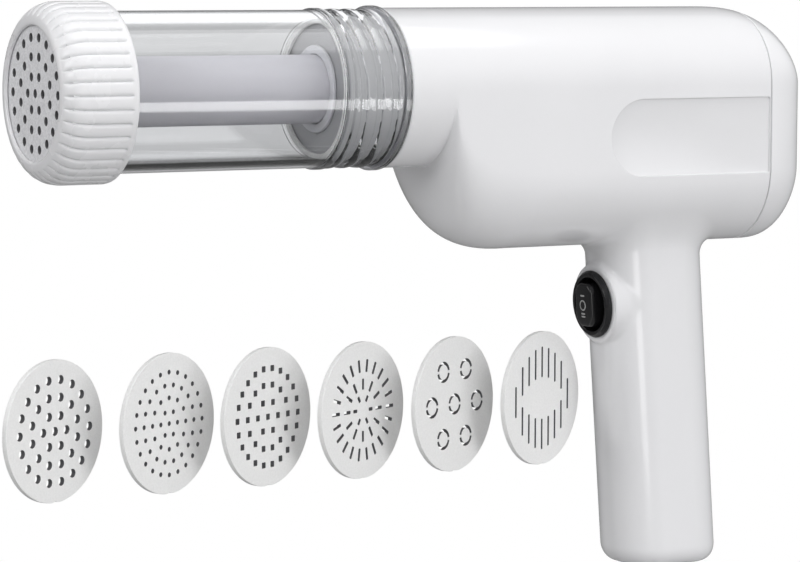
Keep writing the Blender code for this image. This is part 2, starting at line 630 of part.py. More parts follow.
def build_rear_cap():
    """Rounded cap with a spigot that fits into the housing, and two screw posts."""
    skin = [rear_section(x, 0.0, x) for x in (SEAM_X + GAP, *CAP_STATIONS)]
    rear_cap = finish("rear_cap", loft(skin), SHELL, smooth=40)
    spigot_in = WALL + GAP
    spigot = [rear_section(x, spigot_in, SEAM_X) for x in (141.4, 149.0)]
    join(rear_cap, "cap_spigot", loft(spigot))
    hollow = [rear_section(x, spigot_in + 1.6, SEAM_X) for x in (140.0, 145.0)]
    skin_in = WALL + 1.9
    hollow += [rear_section(x - skin_in, skin_in, x) for x in CAP_STATIONS]
    cut(rear_cap, "cap_hollow", loft(hollow))
    for i, (z, post_end) in enumerate(zip(POSTS_Z, CAP_POST_ENDS)):
        centre = (0, z)
        join(rear_cap, f"cap_post_{i}", rod(140.9, post_end, 4.4, 14, centre))
        cut(rear_cap, f"cap_hole_{i}", rod(139.0, 151.0, 1.65, 8, centre))
        cut(rear_cap, f"cap_counterbore_{i}", rod(149.6, REAR_X + 5, 3.2, 12, centre))
        screw(f"rear_cap_screw_{i + 1}", 149.9, 130.0, 2.8, 1.3, 2.2, centre)


# ---------------------------------------------------------------- in the handle
def build_switch():
    body = [  # (x, r)
        (BOSS_X + 11.0, 0), (BOSS_X + 11.0, 9.85), (BOSS_X - 0.2, 9.85), (BOSS_X - 0.2, BEZEL_R),
        (BOSS_X - 0.7, BEZEL_R), (BOSS_X - 2.2, 10.5), (BOSS_X - 2.2, 9.2), (BOSS_X + 8.4, 9.2),
        (BOSS_X + 8.4, 0),
    ]
    finish("switch_body", placed(turned(body, 28), SWITCH_FRAME), SWITCH)
    rows = [(5.6, 0.62, 0.9), (-1.0, 0.98, 1.0), (-4.2, 1.0, 1.0), (-5.4, 0.93, 0.9)]
    outline = rounded_rect(15.2, 10.4, 2.2, 4)  # (z, y)
    # rows: (x, scale along z, scale along y)
    rocker = loft([[(x, y * scale_y, z * scale_z) for z, y in outline]
                   for x, scale_z, scale_y in rows])
    pivot = SWITCH_FRAME @ Vector((1.0, 0, 0))
    finish("switch_rocker", placed(rocker, SWITCH_FRAME), ROCKER, origin=pivot)
    for i, z in enumerate((-5.2, 0.0, 5.2), 1):
        blade = placed(box((10.2, -2.4, z - 0.4), (17.5, 2.4, z + 0.4)), SWITCH_FRAME)
        finish(f"switch_terminal_{i}", blade, TERMINAL)


def build_cells():
    profile = [  # (x, r), terminal end first
        (-25.0, 0), (-25.0, 2.6), (-24.0, 2.6), (-24.0, CELL_R), (24.6, CELL_R), (24.6, 0),
    ]
    for i, side in enumerate((-1, 1), 1):
        cell = turned(profile, 20, (0.0, side * CELL_OFFSET))
        finish(f"battery_cell_{i}", placed(cell, CELL_FRAME), CELL)
    link = box((25.0, -3.5, -11.0), (25.4, 3.5, 11.0))
    finish("cell_link", placed(link, CELL_FRAME), PLATE_STEEL)


def build_grip_base():
    """Charge board and socket, and the plug that closes the end of the handle."""
    board = box((BASE_X - 12.5, -9.5, -159.9), (BASE_X + 12.5, 9.5, -158.6))
    finish("charge_board", board, BOARD)
    socket = finish("charge_socket", base_block(8.9, 3.2, 1.5, -160.2, -167.3), BRIGHT_STEEL)
    cut(socket, "socket_mouth", base_block(8.2, 2.5, 1.2, -162.5, -170.0))
    size = (BASE_LENGTH - 2 * GAP, BASE_WIDTH - 2 * GAP, BASE_CORNER - GAP)
    plug = base_block(*size, -165.2, GRIP_BOTTOM)
    base = finish("grip_base", plug, TRIM, origin=(BASE_X, 0, GRIP_BOTTOM))
    cut(base, "socket_opening", base_block(9.6, 3.9, 1.8, -163.0, -171.0))


# ---------------------------------------------------------------- wires
WIRE_R = 0.7
LEAD_ROUTE = (  # (x, distance from the middle plane, z), from above the switch to the motor
    (115.0, 4.0, -62.0), (106.0, 5.0, -49.6), (94.0, 5.0, -47.2), (80.0, 5.0, -46.4),
    (45.0, 5.0, -46.0), (30.0, 5.0, -40.5), (27.8, 6.0, -34.0), (31.2, 8.0, -30.0),
)


def build_lead(name, side, height, look):
    """A wire from the switch, starting at the given height, to the front of the motor."""
    start = ((110.6, 1.4, height), (114.0, 3.0, height + 1.0))
    points = start + LEAD_ROUTE
    curve = bpy.data.curves.new(name, "CURVE")
    curve.dimensions = "3D"
    curve.bevel_depth = WIRE_R * MM
    curve.bevel_resolution = 0
    curve.resolution_u = 3
    curve.use_fill_caps = True
    spline = curve.splines.new("BEZIER")
    spline.bezier_points.add(len(points) - 1)
    for point, (x, y, z) in zip(spline.bezier_points, points):
        point.co = Vector((x, side * y, z)) * MM
        point.handle_left_type = point.handle_right_type = "AUTO"
    add_object(name, curve, look)


# ---------------------------------------------------------------- loose discs
def slot(y, z, width, height, angle=0.0):
    """Rectangle about (y, z), turned by an angle."""
    c, s = math.cos(angle), math.sin(angle)
    corners = [(sy * width / 2, sz * height / 2) for sy, sz in ((-1, -1), (1, -1), (1, 1), (-1, 1))]
    return [(y + a * c - b * s, z + a * s + b * c) for a, b in corners]


def arc_slot(y, z, r_in, r_out, start, end, steps=5):
    pts = [polar(r_out, start + (end - start) * i / steps, y, z) for i in range(steps + 1)]
    pts += [polar(r_in, end + (start - end) * i / steps, y, z) for i in range(steps + 1)]
    return pts


def fine_holes():
    holes = [circle(0.8, 5)]
    for count, radius in ((6, 4.2), (12, 8.4), (18, 12.6), (24, 16.8)):
        for angle in angles(count):
            holes.append(circle(0.8, 4, *polar(radius, angle), math.pi / 4))
    return holes


def square_holes():
    holes = [slot(0, 0, 2.0, 2.0)]
    for count, radius in ((6, 5.35), (14, 10.7), (22, 16.1)):
        holes += [slot(*polar(radius, angle), 2.0, 2.0) for angle in angles(count)]
    return holes


def radial_slots():
    holes = []
    for count, radius, length in ((6, 4.3, 2.2), (12, 8.8, 3.7), (22, 15.0, 4.3)):
        holes += [slot(*polar(radius, angle), length, 1.15, angle) for angle in angles(count)]
    return holes


def ring_slots():
    """Seven rings, each of two arcs."""
    bridge = 0.15  # half angle of the bridge between the arcs
    holes = []
    for y, z in [(0, 0)] + [polar(13.2, math.pi / 3 * i) for i in range(6)]:
        for start in (bridge, math.pi + bridge):
            holes.append(arc_slot(y, z, 2.55, 3.6, start, start + math.pi - 2 * bridge))
    return holes


def bars():
    """Pairs of bars whose inner ends follow a curve, with one single bar at each side."""
    holes = []
    for k in range(-4, 5):
        y = k * 4.0
        if abs(k) == 4:
            holes.append(slot(y, 0, 1.0, 10.6))
            continue
        inner = 7.2 - 0.58 * k**2
        length = 10.6 - 0.27 * abs(k)
        holes += [slot(y, side * (inner + length / 2), 1.0, length) for side in (-1, 1)]
    return holes


def build_loose_discs():
    patterns = {
        "disc_round_holes": round_hole_pattern(LOOSE_PITCH),
        "disc_fine_holes": fine_holes(),
        "disc_square_holes": square_holes(),
        "disc_radial_slots": radial_slots(),
        "disc_rings": ring_slots(),
        "disc_bars": bars(),
    }
    for (name, holes), x in zip(patterns.items(), DISC_X):
        # the face drawn towards -X is turned to look to -Y and a little to +X
        obj = finish(name, pierced_disc(holes, -DISC_T / 2, DISC_T / 2), DISC, smooth=30)
        obj.location = Vector((x, 0, DISC_Z)) * MM
        obj.rotation_euler = (0, 0, math.pi / 2 + DISC_TURN)


build_nozzle()
build_barrel()
build_barrel_socket()
build_plunger_bush()
build_piston()
build_plunger_tube()
build_lead_screw()
build_gears()
build_gear_plates()
build_motor()
build_housing()
build_rear_cap()
build_switch()
build_cells()
build_grip_base()
build_lead("motor_lead_red", -1, -70.5, RED_WIRE)
build_lead("motor_lead_black", 1, -76.0, BLACK_WIRE)
build_loose_discs()
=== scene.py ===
"""Looks of the cordless cookie press: fine meshes, procedural materials, studio light and camera.

The barrel's axis lies along X, with the nozzle towards -X and the rear cap towards +X. The handle
hangs down along -Z, and six pattern discs stand in a row below the barrel. The camera looks from
the -Y side. Lengths of pieces are millimetres and are scaled by MM when a mesh is made. Lights,
floor and camera are in metres.
"""

import math

import bmesh
import bpy
import numpy as np
from mathutils import Matrix, Vector


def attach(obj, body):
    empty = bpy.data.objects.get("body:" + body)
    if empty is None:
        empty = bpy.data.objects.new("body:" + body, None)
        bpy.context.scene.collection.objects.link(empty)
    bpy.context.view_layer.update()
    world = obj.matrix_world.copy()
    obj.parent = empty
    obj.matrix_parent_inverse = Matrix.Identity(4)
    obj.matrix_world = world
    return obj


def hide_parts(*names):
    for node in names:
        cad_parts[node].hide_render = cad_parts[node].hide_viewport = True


MM = 0.001

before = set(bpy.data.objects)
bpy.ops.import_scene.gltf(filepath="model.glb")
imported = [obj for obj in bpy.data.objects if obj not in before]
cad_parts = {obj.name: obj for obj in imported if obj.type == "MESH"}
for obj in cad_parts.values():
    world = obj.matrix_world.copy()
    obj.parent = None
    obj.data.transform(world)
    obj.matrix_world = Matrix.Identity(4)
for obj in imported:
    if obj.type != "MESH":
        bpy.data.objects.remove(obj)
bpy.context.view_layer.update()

# ---------------------------------------------------------------- dimensions shared with the CAD
BODY_R, WALL = 26.6, 2.4
BODY_DROP = -28.6  # z of the centre of the housing's round underside
MOUTH_X, SEAM_X, REAR_X = 3.2, 145.1, 163.4
CROWN_X, HEEL_X = 127.0, 147.0  # where the top and the underside start to curve in to the rear
REAR_CORNER = 15.0
SEAM_EDGE = 0.4  # edge rounding on both sides of the rear seam
# control points (x, z) of the Bezier curve that the underside follows behind the mouth
BELLY = ((19.5, -26.6), (21.5, -43.5), (26.5, -56.2), (52.0, -55.2))
BELLY_END = BELLY[3][0]

GRIP_X, GRIP_Y, GRIP_CORNER = 39.1, 32.7, 14.0  # handle's section
GRIP_TOP_X, GRIP_TOP_Z = 109.85, -60.7  # a point on the handle's leaning axis
GRIP_LEAN = 0.0717  # x gained per unit of descent
GRIP_BOTTOM = -167.6
FOOT_X = GRIP_TOP_X + (GRIP_TOP_Z - GRIP_BOTTOM) * GRIP_LEAN

SWITCH_Z, SWITCH_BOSS = -76.0, 1.2
LEAN = math.atan(GRIP_LEAN)
SWITCH_X = GRIP_TOP_X + (GRIP_TOP_Z - SWITCH_Z) * GRIP_LEAN - GRIP_X / 2
# the switch's own frame: -X points out of the handle's front
SWITCH_FRAME = Matrix.Translation((SWITCH_X, 0, SWITCH_Z)) @ Matrix.Rotation(-LEAN, 4, "Y")

DISC_R = 23.0

# Shapes are drawn about the barrel's axis. SHIFT moves them so that the handle's end is at z = 0.
SHIFT = Vector((-0.109, 0.0, -GRIP_BOTTOM * MM))


# ---------------------------------------------------------------- materials
def add_node(tree, kind, **values):
    """Adds a shader node, and sets its inputs and properties by name."""
    node = tree.nodes.new(kind)
    for key, value in values.items():
        if hasattr(node, key) and key not in node.inputs:
            setattr(node, key, value)
        else:
            node.inputs[key].default_value = value
    return node


def map_range(tree, value, low, high, at):
    """Maps a value from the range `at` to low..high."""
    limits = {"From Min": at[0], "From Max": at[1], "To Min": low, "To Max": high}
    node = add_node(tree, "ShaderNodeMapRange", **limits)
    tree.links.new(value, node.inputs["Value"])
    return node.outputs["Result"]


class Nodes:
    """A small builder of shader graphs."""

    def __init__(self, name):
        self.mat = bpy.data.materials.new(name)
        self.mat.use_nodes = True
        self.tree = self.mat.node_tree
        self.shader = self.tree.nodes["Principled BSDF"]
        self.coord = self.new("ShaderNodeTexCoord")

    def new(self, kind, **values):
        return add_node(self.tree, kind, **values)

    def link(self, source, target):
        self.tree.links.new(source, target)

    def noise(self, scale, detail, rough=0.5, stretch=None):
        node = self.new("ShaderNodeTexNoise", Scale=scale, Detail=detail, Roughness=rough)
        source = self.coord.outputs["Object"]
        if stretch:
            mapping = self.new("ShaderNodeMapping", Scale=stretch)
            self.link(source, mapping.inputs["Vector"])
            source = mapping.outputs["Vector"]
        self.link(source, node.inputs["Vector"])
        return node.outputs["Fac"]

    def span(self, fac, low, high, at=(0.35, 0.65)):
        return map_range(self.tree, fac, low, high, at)

    def tint(self, fac, dark, light, at=(0.35, 0.65)):
        ramp = self.new("ShaderNodeValToRGB")
        for stop, place, color in zip(ramp.color_ramp.elements, at, (dark, light)):
            stop.position, stop.color = place, (*color, 1)
        self.link(fac, ramp.inputs["Fac"])
        self.link(ramp.outputs["Color"], self.shader.inputs["Base Color"])

    def gloss(self, fac, low, high):
        self.link(self.span(fac, low, high), self.shader.inputs["Roughness"])

    def bump(self, fac, strength, distance):
        node = self.new("ShaderNodeBump", Strength=strength, Distance=distance)
        self.link(fac, node.inputs["Height"])
        self.link(node.outputs["Normal"], self.shader.inputs["Normal"])

    def mix(self, fac, first, second):
        node = self.new("ShaderNodeMixShader")
        self.link(fac, node.inputs["Fac"])
        self.link(first, node.inputs[1])
        self.link(second, node.inputs[2])
        return node.outputs["Shader"]

    def surface(self, shader):
        self.link(shader, self.tree.nodes["Material Output"].inputs["Surface"])

    def set(self, **values):
        for key, value in values.items():
            self.shader.inputs[key.replace("_", " ")].default_value = value


def moulded(name, color, rough, grain, shade=0.02, coat=0.0, ior=1.5):
    """Moulded plastic: a faint cloudiness in colour and gloss, and a fine moulded grain.

    rough is the roughness and its spread. grain is its noise scale, bump strength and bump
    distance in metres. shade is how much darker the cloudy spots are.
    """
    g = Nodes(name)
    dark = [max(0, c - shade) for c in color]
    light = [min(1, c + shade * 0.5) for c in color]
    g.tint(g.noise(scale=22.0, detail=2.0), dark, light)
    middle, spread = rough
    g.gloss(g.noise(scale=60.0, detail=4.0), middle - spread, middle + spread)
    scale, strength, distance = grain
    g.bump(g.noise(scale, detail=2.0), strength, distance)
    g.set(Coat_Weight=coat, Coat_Roughness=0.05, IOR=ior)
    return g.mat


def turned_metal(name, color, rough):
    """Lathe-turned or drawn metal: fine lines round the X axis, with uneven gloss."""
    g = Nodes(name)
    lines = g.noise(scale=2600.0, detail=2.0, rough=0.6, stretch=(1.0, 0.03, 0.03))
    g.tint(g.noise(scale=120.0, detail=3.0), [c * 0.86 for c in color], color)
    g.gloss(lines, rough - 0.07, rough + 0.1)
    g.bump(lines, strength=0.15, distance=3e-5)
    g.set(Metallic=1.0)
    return g.mat


def blasted(name, dark, light, rough, metallic, grain):
    """Bead-blasted or satin surface: a fine speckle in colour, gloss and height.

    grain is its noise scale, bump strength and bump distance in metres.
    """
    g = Nodes(name)
    scale, strength, distance = grain
    speck = g.noise(scale, detail=4.0, rough=0.65)
    g.tint(speck, dark, light, at=(0.3, 0.7))
    g.gloss(g.noise(scale * 0.5, detail=3.0), rough - 0.08, rough + 0.08)
    g.bump(speck, strength, distance)
    g.set(Metallic=metallic)
    return g.mat


def clear_plastic(name):
    """Clear plastic of a slightly cool colour. Lamps shine through it."""
    g = Nodes(name)
    # steep flanks, such as a thread's, get painted shade: their colour is darkened to draw dark
    # lines along them
    facing = g.new("ShaderNodeNewGeometry")
    parts = g.new("ShaderNodeSeparateXYZ")
    g.link(facing.outputs["Normal"], parts.inputs["Vector"])
    steep = g.new("ShaderNodeMath", operation="ABSOLUTE")
    g.link(parts.outputs["X"], steep.inputs[0])
    painted_flank_shade = g.span(steep.outputs["Value"], low=0.0, high=1.0, at=(0.45, 0.85))
    g.tint(painted_flank_shade, (0.975, 0.98, 0.985), (0.58, 0.58, 0.60), at=(0.0, 1.0))
    g.gloss(g.noise(scale=90.0, detail=3.0), low=0.0, high=0.03)
    g.bump(g.noise(scale=60.0, detail=2.0), strength=0.05, distance=3e-5)
    g.set(Transmission_Weight=1.0, IOR=1.49)
    path = g.new("ShaderNodeLightPath")
    through = g.new("ShaderNodeBsdfTransparent", Color=(0.93, 0.94, 0.945, 1))
    shadow = path.outputs["Is Shadow Ray"]
    g.surface(g.mix(shadow, g.shader.outputs["BSDF"], through.outputs["BSDF"]))
    return g.mat


LOOKS = {
    "white": moulded("white_gloss_plastic", (0.80, 0.80, 0.815), rough=(0.13, 0.025),
                     grain=(700.0, 0.04, 4e-5), shade=0.012, coat=0.35),
    "cap": moulded("white_cap_plastic", (0.80, 0.80, 0.815), rough=(0.27, 0.04),
                   grain=(1100.0, 0.08, 5e-5), shade=0.015, coat=0.1),
    "clear": clear_plastic("clear_plastic"),
    "socket": moulded("grey_socket_plastic", (0.36, 0.36, 0.375), rough=(0.42, 0.06),
                      grain=(1500.0, 0.2, 6e-5)),
    # a paler copy of the grey socket plastic: painted light for the socket's outer side
    "socket_side": moulded("socket_side_painted_light", (0.47, 0.47, 0.48), rough=(0.36, 0.06),
                           grain=(1500.0, 0.2, 6e-5)),
    "bush": moulded("pale_bush_plastic", (0.62, 0.62, 0.65), rough=(0.4, 0.05),
                    grain=(1200.0, 0.12, 5e-5)),
    "rod": moulded("pale_plunger_plastic", (0.60, 0.59, 0.63), rough=(0.52, 0.05),
                   grain=(1200.0, 0.12, 5e-5)),
    "seal": moulded("pale_silicone", (0.72, 0.72, 0.71), rough=(0.55, 0.06),
                    grain=(800.0, 0.1, 5e-5)),
    "black": moulded("black_gloss_plastic", (0.009, 0.009, 0.010), rough=(0.24, 0.05),
                     grain=(900.0, 0.05, 4e-5), shade=0.003, coat=0.15, ior=1.42),
    "marks": moulded("switch_mark_paint", (0.42, 0.42, 0.42), rough=(0.45, 0.05),
                     grain=(1500.0, 0.1, 4e-5), shade=0.03),
    "die": blasted("blasted_die", (0.64, 0.64, 0.66), (0.92, 0.92, 0.94), rough=0.42,
                   metallic=0.05, grain=(1400.0, 0.35, 6e-5)),
    "disc": blasted("satin_disc", (0.83, 0.83, 0.825), (0.90, 0.90, 0.895), rough=0.45,
                    metallic=0.03, grain=(1500.0, 0.10, 4e-5)),
    # the holes' walls: a dark colour that paints the shade inside the holes
    "bore": moulded("hole_wall_painted_shade", (0.13, 0.13, 0.135), rough=(0.6, 0.05),
                    grain=(1500.0, 0.1, 4e-5)),
    "steel": turned_metal("turned_steel", (0.60, 0.61, 0.63), rough=0.24),
    "brass": turned_metal("turned_brass", (0.76, 0.58, 0.27), rough=0.28),
    "gear": moulded("gear_plastic", (0.74, 0.71, 0.62), rough=(0.42, 0.06),
                    grain=(900.0, 0.15, 6e-5), shade=0.03),
    "red": moulded("red_sleeve", (0.50, 0.03, 0.025), rough=(0.4, 0.05),
                   grain=(900.0, 0.1, 5e-5), shade=0.03),
    "sleeve": moulded("cell_sleeve", (0.08, 0.22, 0.48), rough=(0.33, 0.06),
                      grain=(500.0, 0.1, 5e-5), shade=0.03),
    "board": moulded("board_mask", (0.035, 0.20, 0.09), rough=(0.38, 0.08),
                     grain=(400.0, 0.15, 6e-5), shade=0.03),
}


# ---------------------------------------------------------------- mesh helpers
def add_object(name, mesh):
    obj = bpy.data.objects.new(name, mesh)
    bpy.context.scene.collection.objects.link(obj)
    return obj


def to_mesh(name, verts, faces):
    """A mesh in metres from points in millimetres."""
    mesh = bpy.data.meshes.new(name)
    mesh.from_pydata((np.asarray(verts, float) * MM).tolist(), [], faces)
    return mesh


def from_bmesh(name, bm, matrix):
    """A mesh in metres from a bmesh in millimetres, placed by a matrix. Frees the bmesh."""
    bmesh.ops.transform(bm, matrix=Matrix.Scale(MM, 4) @ matrix, verts=bm.verts)
    mesh = bpy.data.meshes.new(name)
    bm.to_mesh(mesh)
    bm.free()
    return mesh


def wrap(name, mesh, look, smooth=32.0, weighted=True):
    """An object from a mesh, smooth up to an angle in degrees."""
    mesh.shade_smooth()
    mesh.set_sharp_from_angle(angle=math.radians(smooth))
    mesh.materials.clear()
    mesh.materials.append(LOOKS[look])
    obj = add_object(name, mesh)
    obj.location = SHIFT
    if weighted:
        obj.modifiers.new("even_normals", "WEIGHTED_NORMAL").keep_sharp = True
    return obj


def to_object(name, solid, look, smooth=32.0, weighted=True):
    mesh = to_mesh(name, *solid)
    mesh.update()
    return wrap(name, mesh, look, smooth, weighted)


def fit(obj, body, node=None):
    """Rides on a body, and stands for a CAD node if one is named."""
    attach(obj, body)
    if node:
        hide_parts(node)
    return obj


def tidy(verts, faces):
    """Merges points that meet, drops what that leaves flat, and turns every face outwards."""
    bm = bmesh.new()
    made = [bm.verts.new(v) for v in verts]
    for face in faces:
        bm.faces.new([made[i] for i in face])
    bmesh.ops.remove_doubles(bm, verts=bm.verts, dist=1e-5)
    bmesh.ops.dissolve_degenerate(bm, edges=bm.edges, dist=1e-6)
    bmesh.ops.recalc_face_normals(bm, faces=bm.faces)
    bm.verts.index_update()
    solid = [v.co[:] for v in bm.verts], [[v.index for v in f.verts] for f in bm.faces]
    bm.free()
    return solid


def rounded(points, seg=4):
    """A closed outline whose corners (a, b, radius) become arcs."""
    out = []
    for i, (a, b, radius) in enumerate(points):
        if radius <= 0:
            out.append((a, b))
            continue
        corner = np.array((a, b), float)
        before = np.array(points[i - 1][:2], float) - corner
        after = np.array(points[(i + 1) % len(points)][:2], float) - corner
        length0, length1 = np.linalg.norm(before), np.linalg.norm(after)
        dir0, dir1 = before / length0, after / length1
        angle = math.acos(max(-1.0, min(1.0, float(dir0 @ dir1))))
        if angle > math.pi - 0.02:
            out.append((a, b))
            continue
        reach = min(radius / math.tan(angle / 2), 0.48 * length0, 0.48 * length1)
        fitted = reach * math.tan(angle / 2)
        middle = (dir0 + dir1) / np.linalg.norm(dir0 + dir1)
        centre = corner + middle * fitted / math.sin(angle / 2)
        arm0, arm1 = corner + dir0 * reach - centre, corner + dir1 * reach - centre
        turn = math.pi - angle
        for k in range(seg + 1):
            f = k / seg
            arm = math.sin((1 - f) * turn) * arm0 + math.sin(f * turn) * arm1
            out.append(tuple(centre + arm / math.sin(turn)))
    return out


def lathe(profile, n, centre=(0.0, 0.0), matrix=None, warp=None):
    """Turned solid about a line along X, from a closed profile of (x, radius).

    warp(i, x, r, angles) gives the x and the radius of row i, which may vary round the turn.
    """
    angles = 2 * np.pi * np.arange(n) / n
    verts, faces, rows = [], [], []
    for i, (x, r) in enumerate(profile):
        if r <= 1e-9:
            rows.append([len(verts)])
            verts.append((x, centre[0], centre[1]))
            continue
        rows.append(list(range(len(verts), len(verts) + n)))
        xs, rs = (x, r) if warp is None else warp(i, x, r, angles)
        ys, zs = centre[0] + rs * np.cos(angles), centre[1] + rs * np.sin(angles)
        verts += list(zip(np.full(n, xs), ys, zs))
    for i, p in enumerate(rows):
        q = rows[(i + 1) % len(rows)]
        if len(p) == 1 and len(q) == 1:
            continue
        for k in range(n):
            j = (k + 1) % n
            if len(p) == 1:
                faces.append((p[0], q[j], q[k]))
            elif len(q) == 1:
                faces.append((p[k], p[j], q[0]))
            else:
                faces.append((p[k], p[j], q[j], q[k]))
    verts, faces = tidy(verts, faces)
    if matrix is not None:
        verts = [tuple(matrix @ Vector(v)) for v in verts]
    return verts, faces


def loft(rings):
    """Joins equal loops of points with quads and closes both ends."""
    verts = [p for loop in rings for p in loop]
    n = len(rings[0])
    faces = []
    for start in range(0, (len(rings) - 1) * n, n):
        for k in range(n):
            j = (k + 1) % n
            faces.append((start + k, start + j, start + n + j, start + n + k))
    faces += [tuple(range(n)), tuple(range((len(rings) - 1) * n, len(rings) * n))]
    return tidy(verts, faces)


def cutter(solid):
    return add_object("cutter", to_mesh("cutter", *solid))


def carve(solid, *steps):
    """A solid after a row of ("DIFFERENCE" | "UNION", solid) steps, as a mesh in metres."""
    base = cutter(solid)
    tools = []
    for operation, tool in steps:
        other = cutter(tool)
        mod = base.modifiers.new("cut", "BOOLEAN")
        mod.operation, mod.object, mod.solver = operation, other, "MANIFOLD"
        tools.append(other)
    graph = bpy.context.evaluated_depsgraph_get()
    mesh = bpy.data.meshes.new_from_object(base.evaluated_get(graph))
    for obj in [base] + tools:
        data = obj.data
        bpy.data.objects.remove(obj)
        bpy.data.meshes.remove(data)
    return mesh


# ---------------------------------------------------------------- outlines
QUARTER = [math.pi / 2 * k / 5 for k in range(6)]


def edge_arc(radius):
    """Offsets of a quarter round: the first falls from radius to 0 while the second rises."""
    return [(radius * (1 - math.sin(t)), radius * (1 - math.cos(t))) for t in QUARTER]


def on_circle(count, r, offset=0):
    """Evenly spaced points on a circle, turned by offset steps."""
    turns = [2 * math.pi * (i + offset) / count for i in range(count)]
    return [(r * math.cos(a), r * math.sin(a)) for a in turns]


def rounded_rect(width, height, corner, n=9):
    points = []
    for k, (sx, sy) in enumerate(((1, 1), (-1, 1), (-1, -1), (1, -1))):
        for i in range(n):
            a = math.pi / 2 * (k + i / (n - 1))
            x = sx * (width / 2 - corner) + corner * math.cos(a)
            points.append((x, sy * (height / 2 - corner) + corner * math.sin(a)))
    return points


def smooth_path(points, n):
    """Points on a Catmull-Rom curve through the given ones, n to a span."""
    p = np.array([points[0]] + list(points) + [points[-1]], float)
    out = []
    for i in range(1, len(p) - 2):
        before, here, there, after = p[i - 1 : i + 3]
        for k in range(n):
            t = k / n
            square = (2 * before - 5 * here + 4 * there - after) * t * t
            cube = (-before + 3 * here - 3 * there + after) * t**3
            out.append(tuple(0.5 * ((2 * here) + (-before + there) * t + square + cube)))
    return out + [tuple(points[-1])]


def clamp(value):
    return min(1.0, max(0.0, value))


# ---------------------------------------------------------------- smooth solids from a field
def surface_net(field, low, high, step):
    """A closed quad mesh of field < 0, with one point in each grid cell that the surface cuts."""
    low, high = np.array(low, float), np.array(high, float)
    n = np.ceil((high - low) / step).astype(int) + 1
    axes = [low[k] + step * np.arange(n[k]) for k in range(3)]
    value = np.empty(n, np.float32)
    slab = 24
    for i in range(0, n[0], slab):
        grid = np.meshgrid(axes[0][i : i + slab], axes[1], axes[2], indexing="ij", sparse=True)
        value[i : i + slab] = field(*grid)
    inside = value < 0
    corners = [(a, b, c) for a in (0, 1) for b in (0, 1) for c in (0, 1)]
    count = np.zeros(n - 1, np.uint8)
    for a, b, c in corners:
        count += inside[a : a + n[0] - 1, b : b + n[1] - 1, c : c + n[2] - 1]
    active = (count > 0) & (count < 8)
    cells = np.argwhere(active)
    index = np.full(n - 1, -1, np.int64)
    index[active] = np.arange(len(cells))

    # each point is the mean of the crossings on its cell's edges
    place, crossings = np.zeros((len(cells), 3)), np.zeros(len(cells))
    for corner in corners:
        for k in range(3):
            if corner[k]:
                continue
            end = list(corner)
            end[k] = 1
            here = value[tuple((cells + corner).T)].astype(float)
            there = value[tuple((cells + end).T)].astype(float)
            cross = (here < 0) != (there < 0)
            t = np.where(cross, here / np.where(cross, here - there, 1), 0)
            edge = np.array(end) - np.array(corner)
            place[cross] += np.array(corner, float) + t[cross, None] * edge
            crossings += cross
    verts = low + step * (cells + place / crossings[:, None])

    # each grid edge that the surface crosses makes a quad of the four cells round it
    quads = []
    for k in range(3):
        u, v = np.eye(3, dtype=int)[(k + 1) % 3], np.eye(3, dtype=int)[(k + 2) % 3]
        head, tail = [slice(None)] * 3, [slice(None)] * 3
        head[k], tail[k] = slice(1, None), slice(None, -1)
        first = inside[tuple(tail)]
        edges = np.argwhere(first != inside[tuple(head)])
        up = first[tuple(edges.T)]
        around = (u + v, v, np.zeros(3, int), u)
        quad = np.stack([index[tuple((edges - d).T)] for d in around], 1)
        quad[~up] = quad[~up][:, ::-1]
        quads.append(quad)
    return verts, np.concatenate(quads)


def gradient(field, verts, e=0.02):
    slopes = np.empty_like(verts)
    for k in range(3):
        d = np.zeros(3)
        d[k] = e
        slopes[:, k] = (field(*(verts + d).T) - field(*(verts - d).T)) / (2 * e)
    return slopes


def settle(field, verts, quads, rounds, relax):
    """Evens out the points along the surface, and puts them exactly on it."""
    pairs = np.concatenate([quads[:, [k, (k + 1) % 4]] for k in range(4)])
    start, end = pairs[:, 0], pairs[:, 1]
    n = len(verts)
    neighbours = np.bincount(start, minlength=n) + np.bincount(end, minlength=n)
    for turn in range(relax + 1):
        if turn:
            total = np.zeros_like(verts)
            for k in range(3):
                onward = np.bincount(start, verts[end, k], n)
                total[:, k] = onward + np.bincount(end, verts[start, k], n)
            verts = 0.5 * verts + 0.5 * total / neighbours[:, None]
        for _ in range(rounds):
            f, g = field(*verts.T), gradient(field, verts)
            move = (f / np.maximum((g * g).sum(1), 0.05))[:, None] * g
            size = np.linalg.norm(move, axis=1, keepdims=True)
            verts = verts - move * np.minimum(1, 0.5 / np.maximum(size, 1e-9))
    return verts


def field_solid(field, low, high, step, rounds, relax):
    verts, quads = surface_net(field, low, high, step)
    return settle(field, verts, quads, rounds, relax), quads.tolist()


def round_join(a, b, r):
    """Union of two fields with a fillet of radius r."""
    return np.maximum(r, np.minimum(a, b)) - np.hypot(np.maximum(r - a, 0), np.maximum(r - b, 0))


def round_meet(a, b, r):
    """Intersection of two fields with a rounded edge of radius r."""
    return np.minimum(-r, np.maximum(a, b)) + np.hypot(np.maximum(r + a, 0), np.maximum(r + b, 0))


def rear_rounding(x):
    """(half width, top, underside) of the outer skin."""
    u = np.clip((x - CROWN_X) / (REAR_X - CROWN_X), 0, 1)
    v = np.clip((x - HEEL_X) / (REAR_X - HEEL_X), 0, 1)
    w = np.clip((x - REAR_X + REAR_CORNER) / REAR_CORNER, 0, 1)
    half = BODY_R - REAR_CORNER * (1 - np.sqrt(1 - w * w))
    return half, BODY_R * np.sqrt(1 - u**3.3), BODY_DROP - BODY_R * np.sqrt(1 - v**3.4)


def bezier(points, k):
    t = np.linspace(0, 1, 3001)
    weights = ((1 - t) ** 3, 3 * (1 - t) ** 2 * t, 3 * (1 - t) * t * t, t**3)
    return sum(w * points[i][k] for i, w in enumerate(weights))


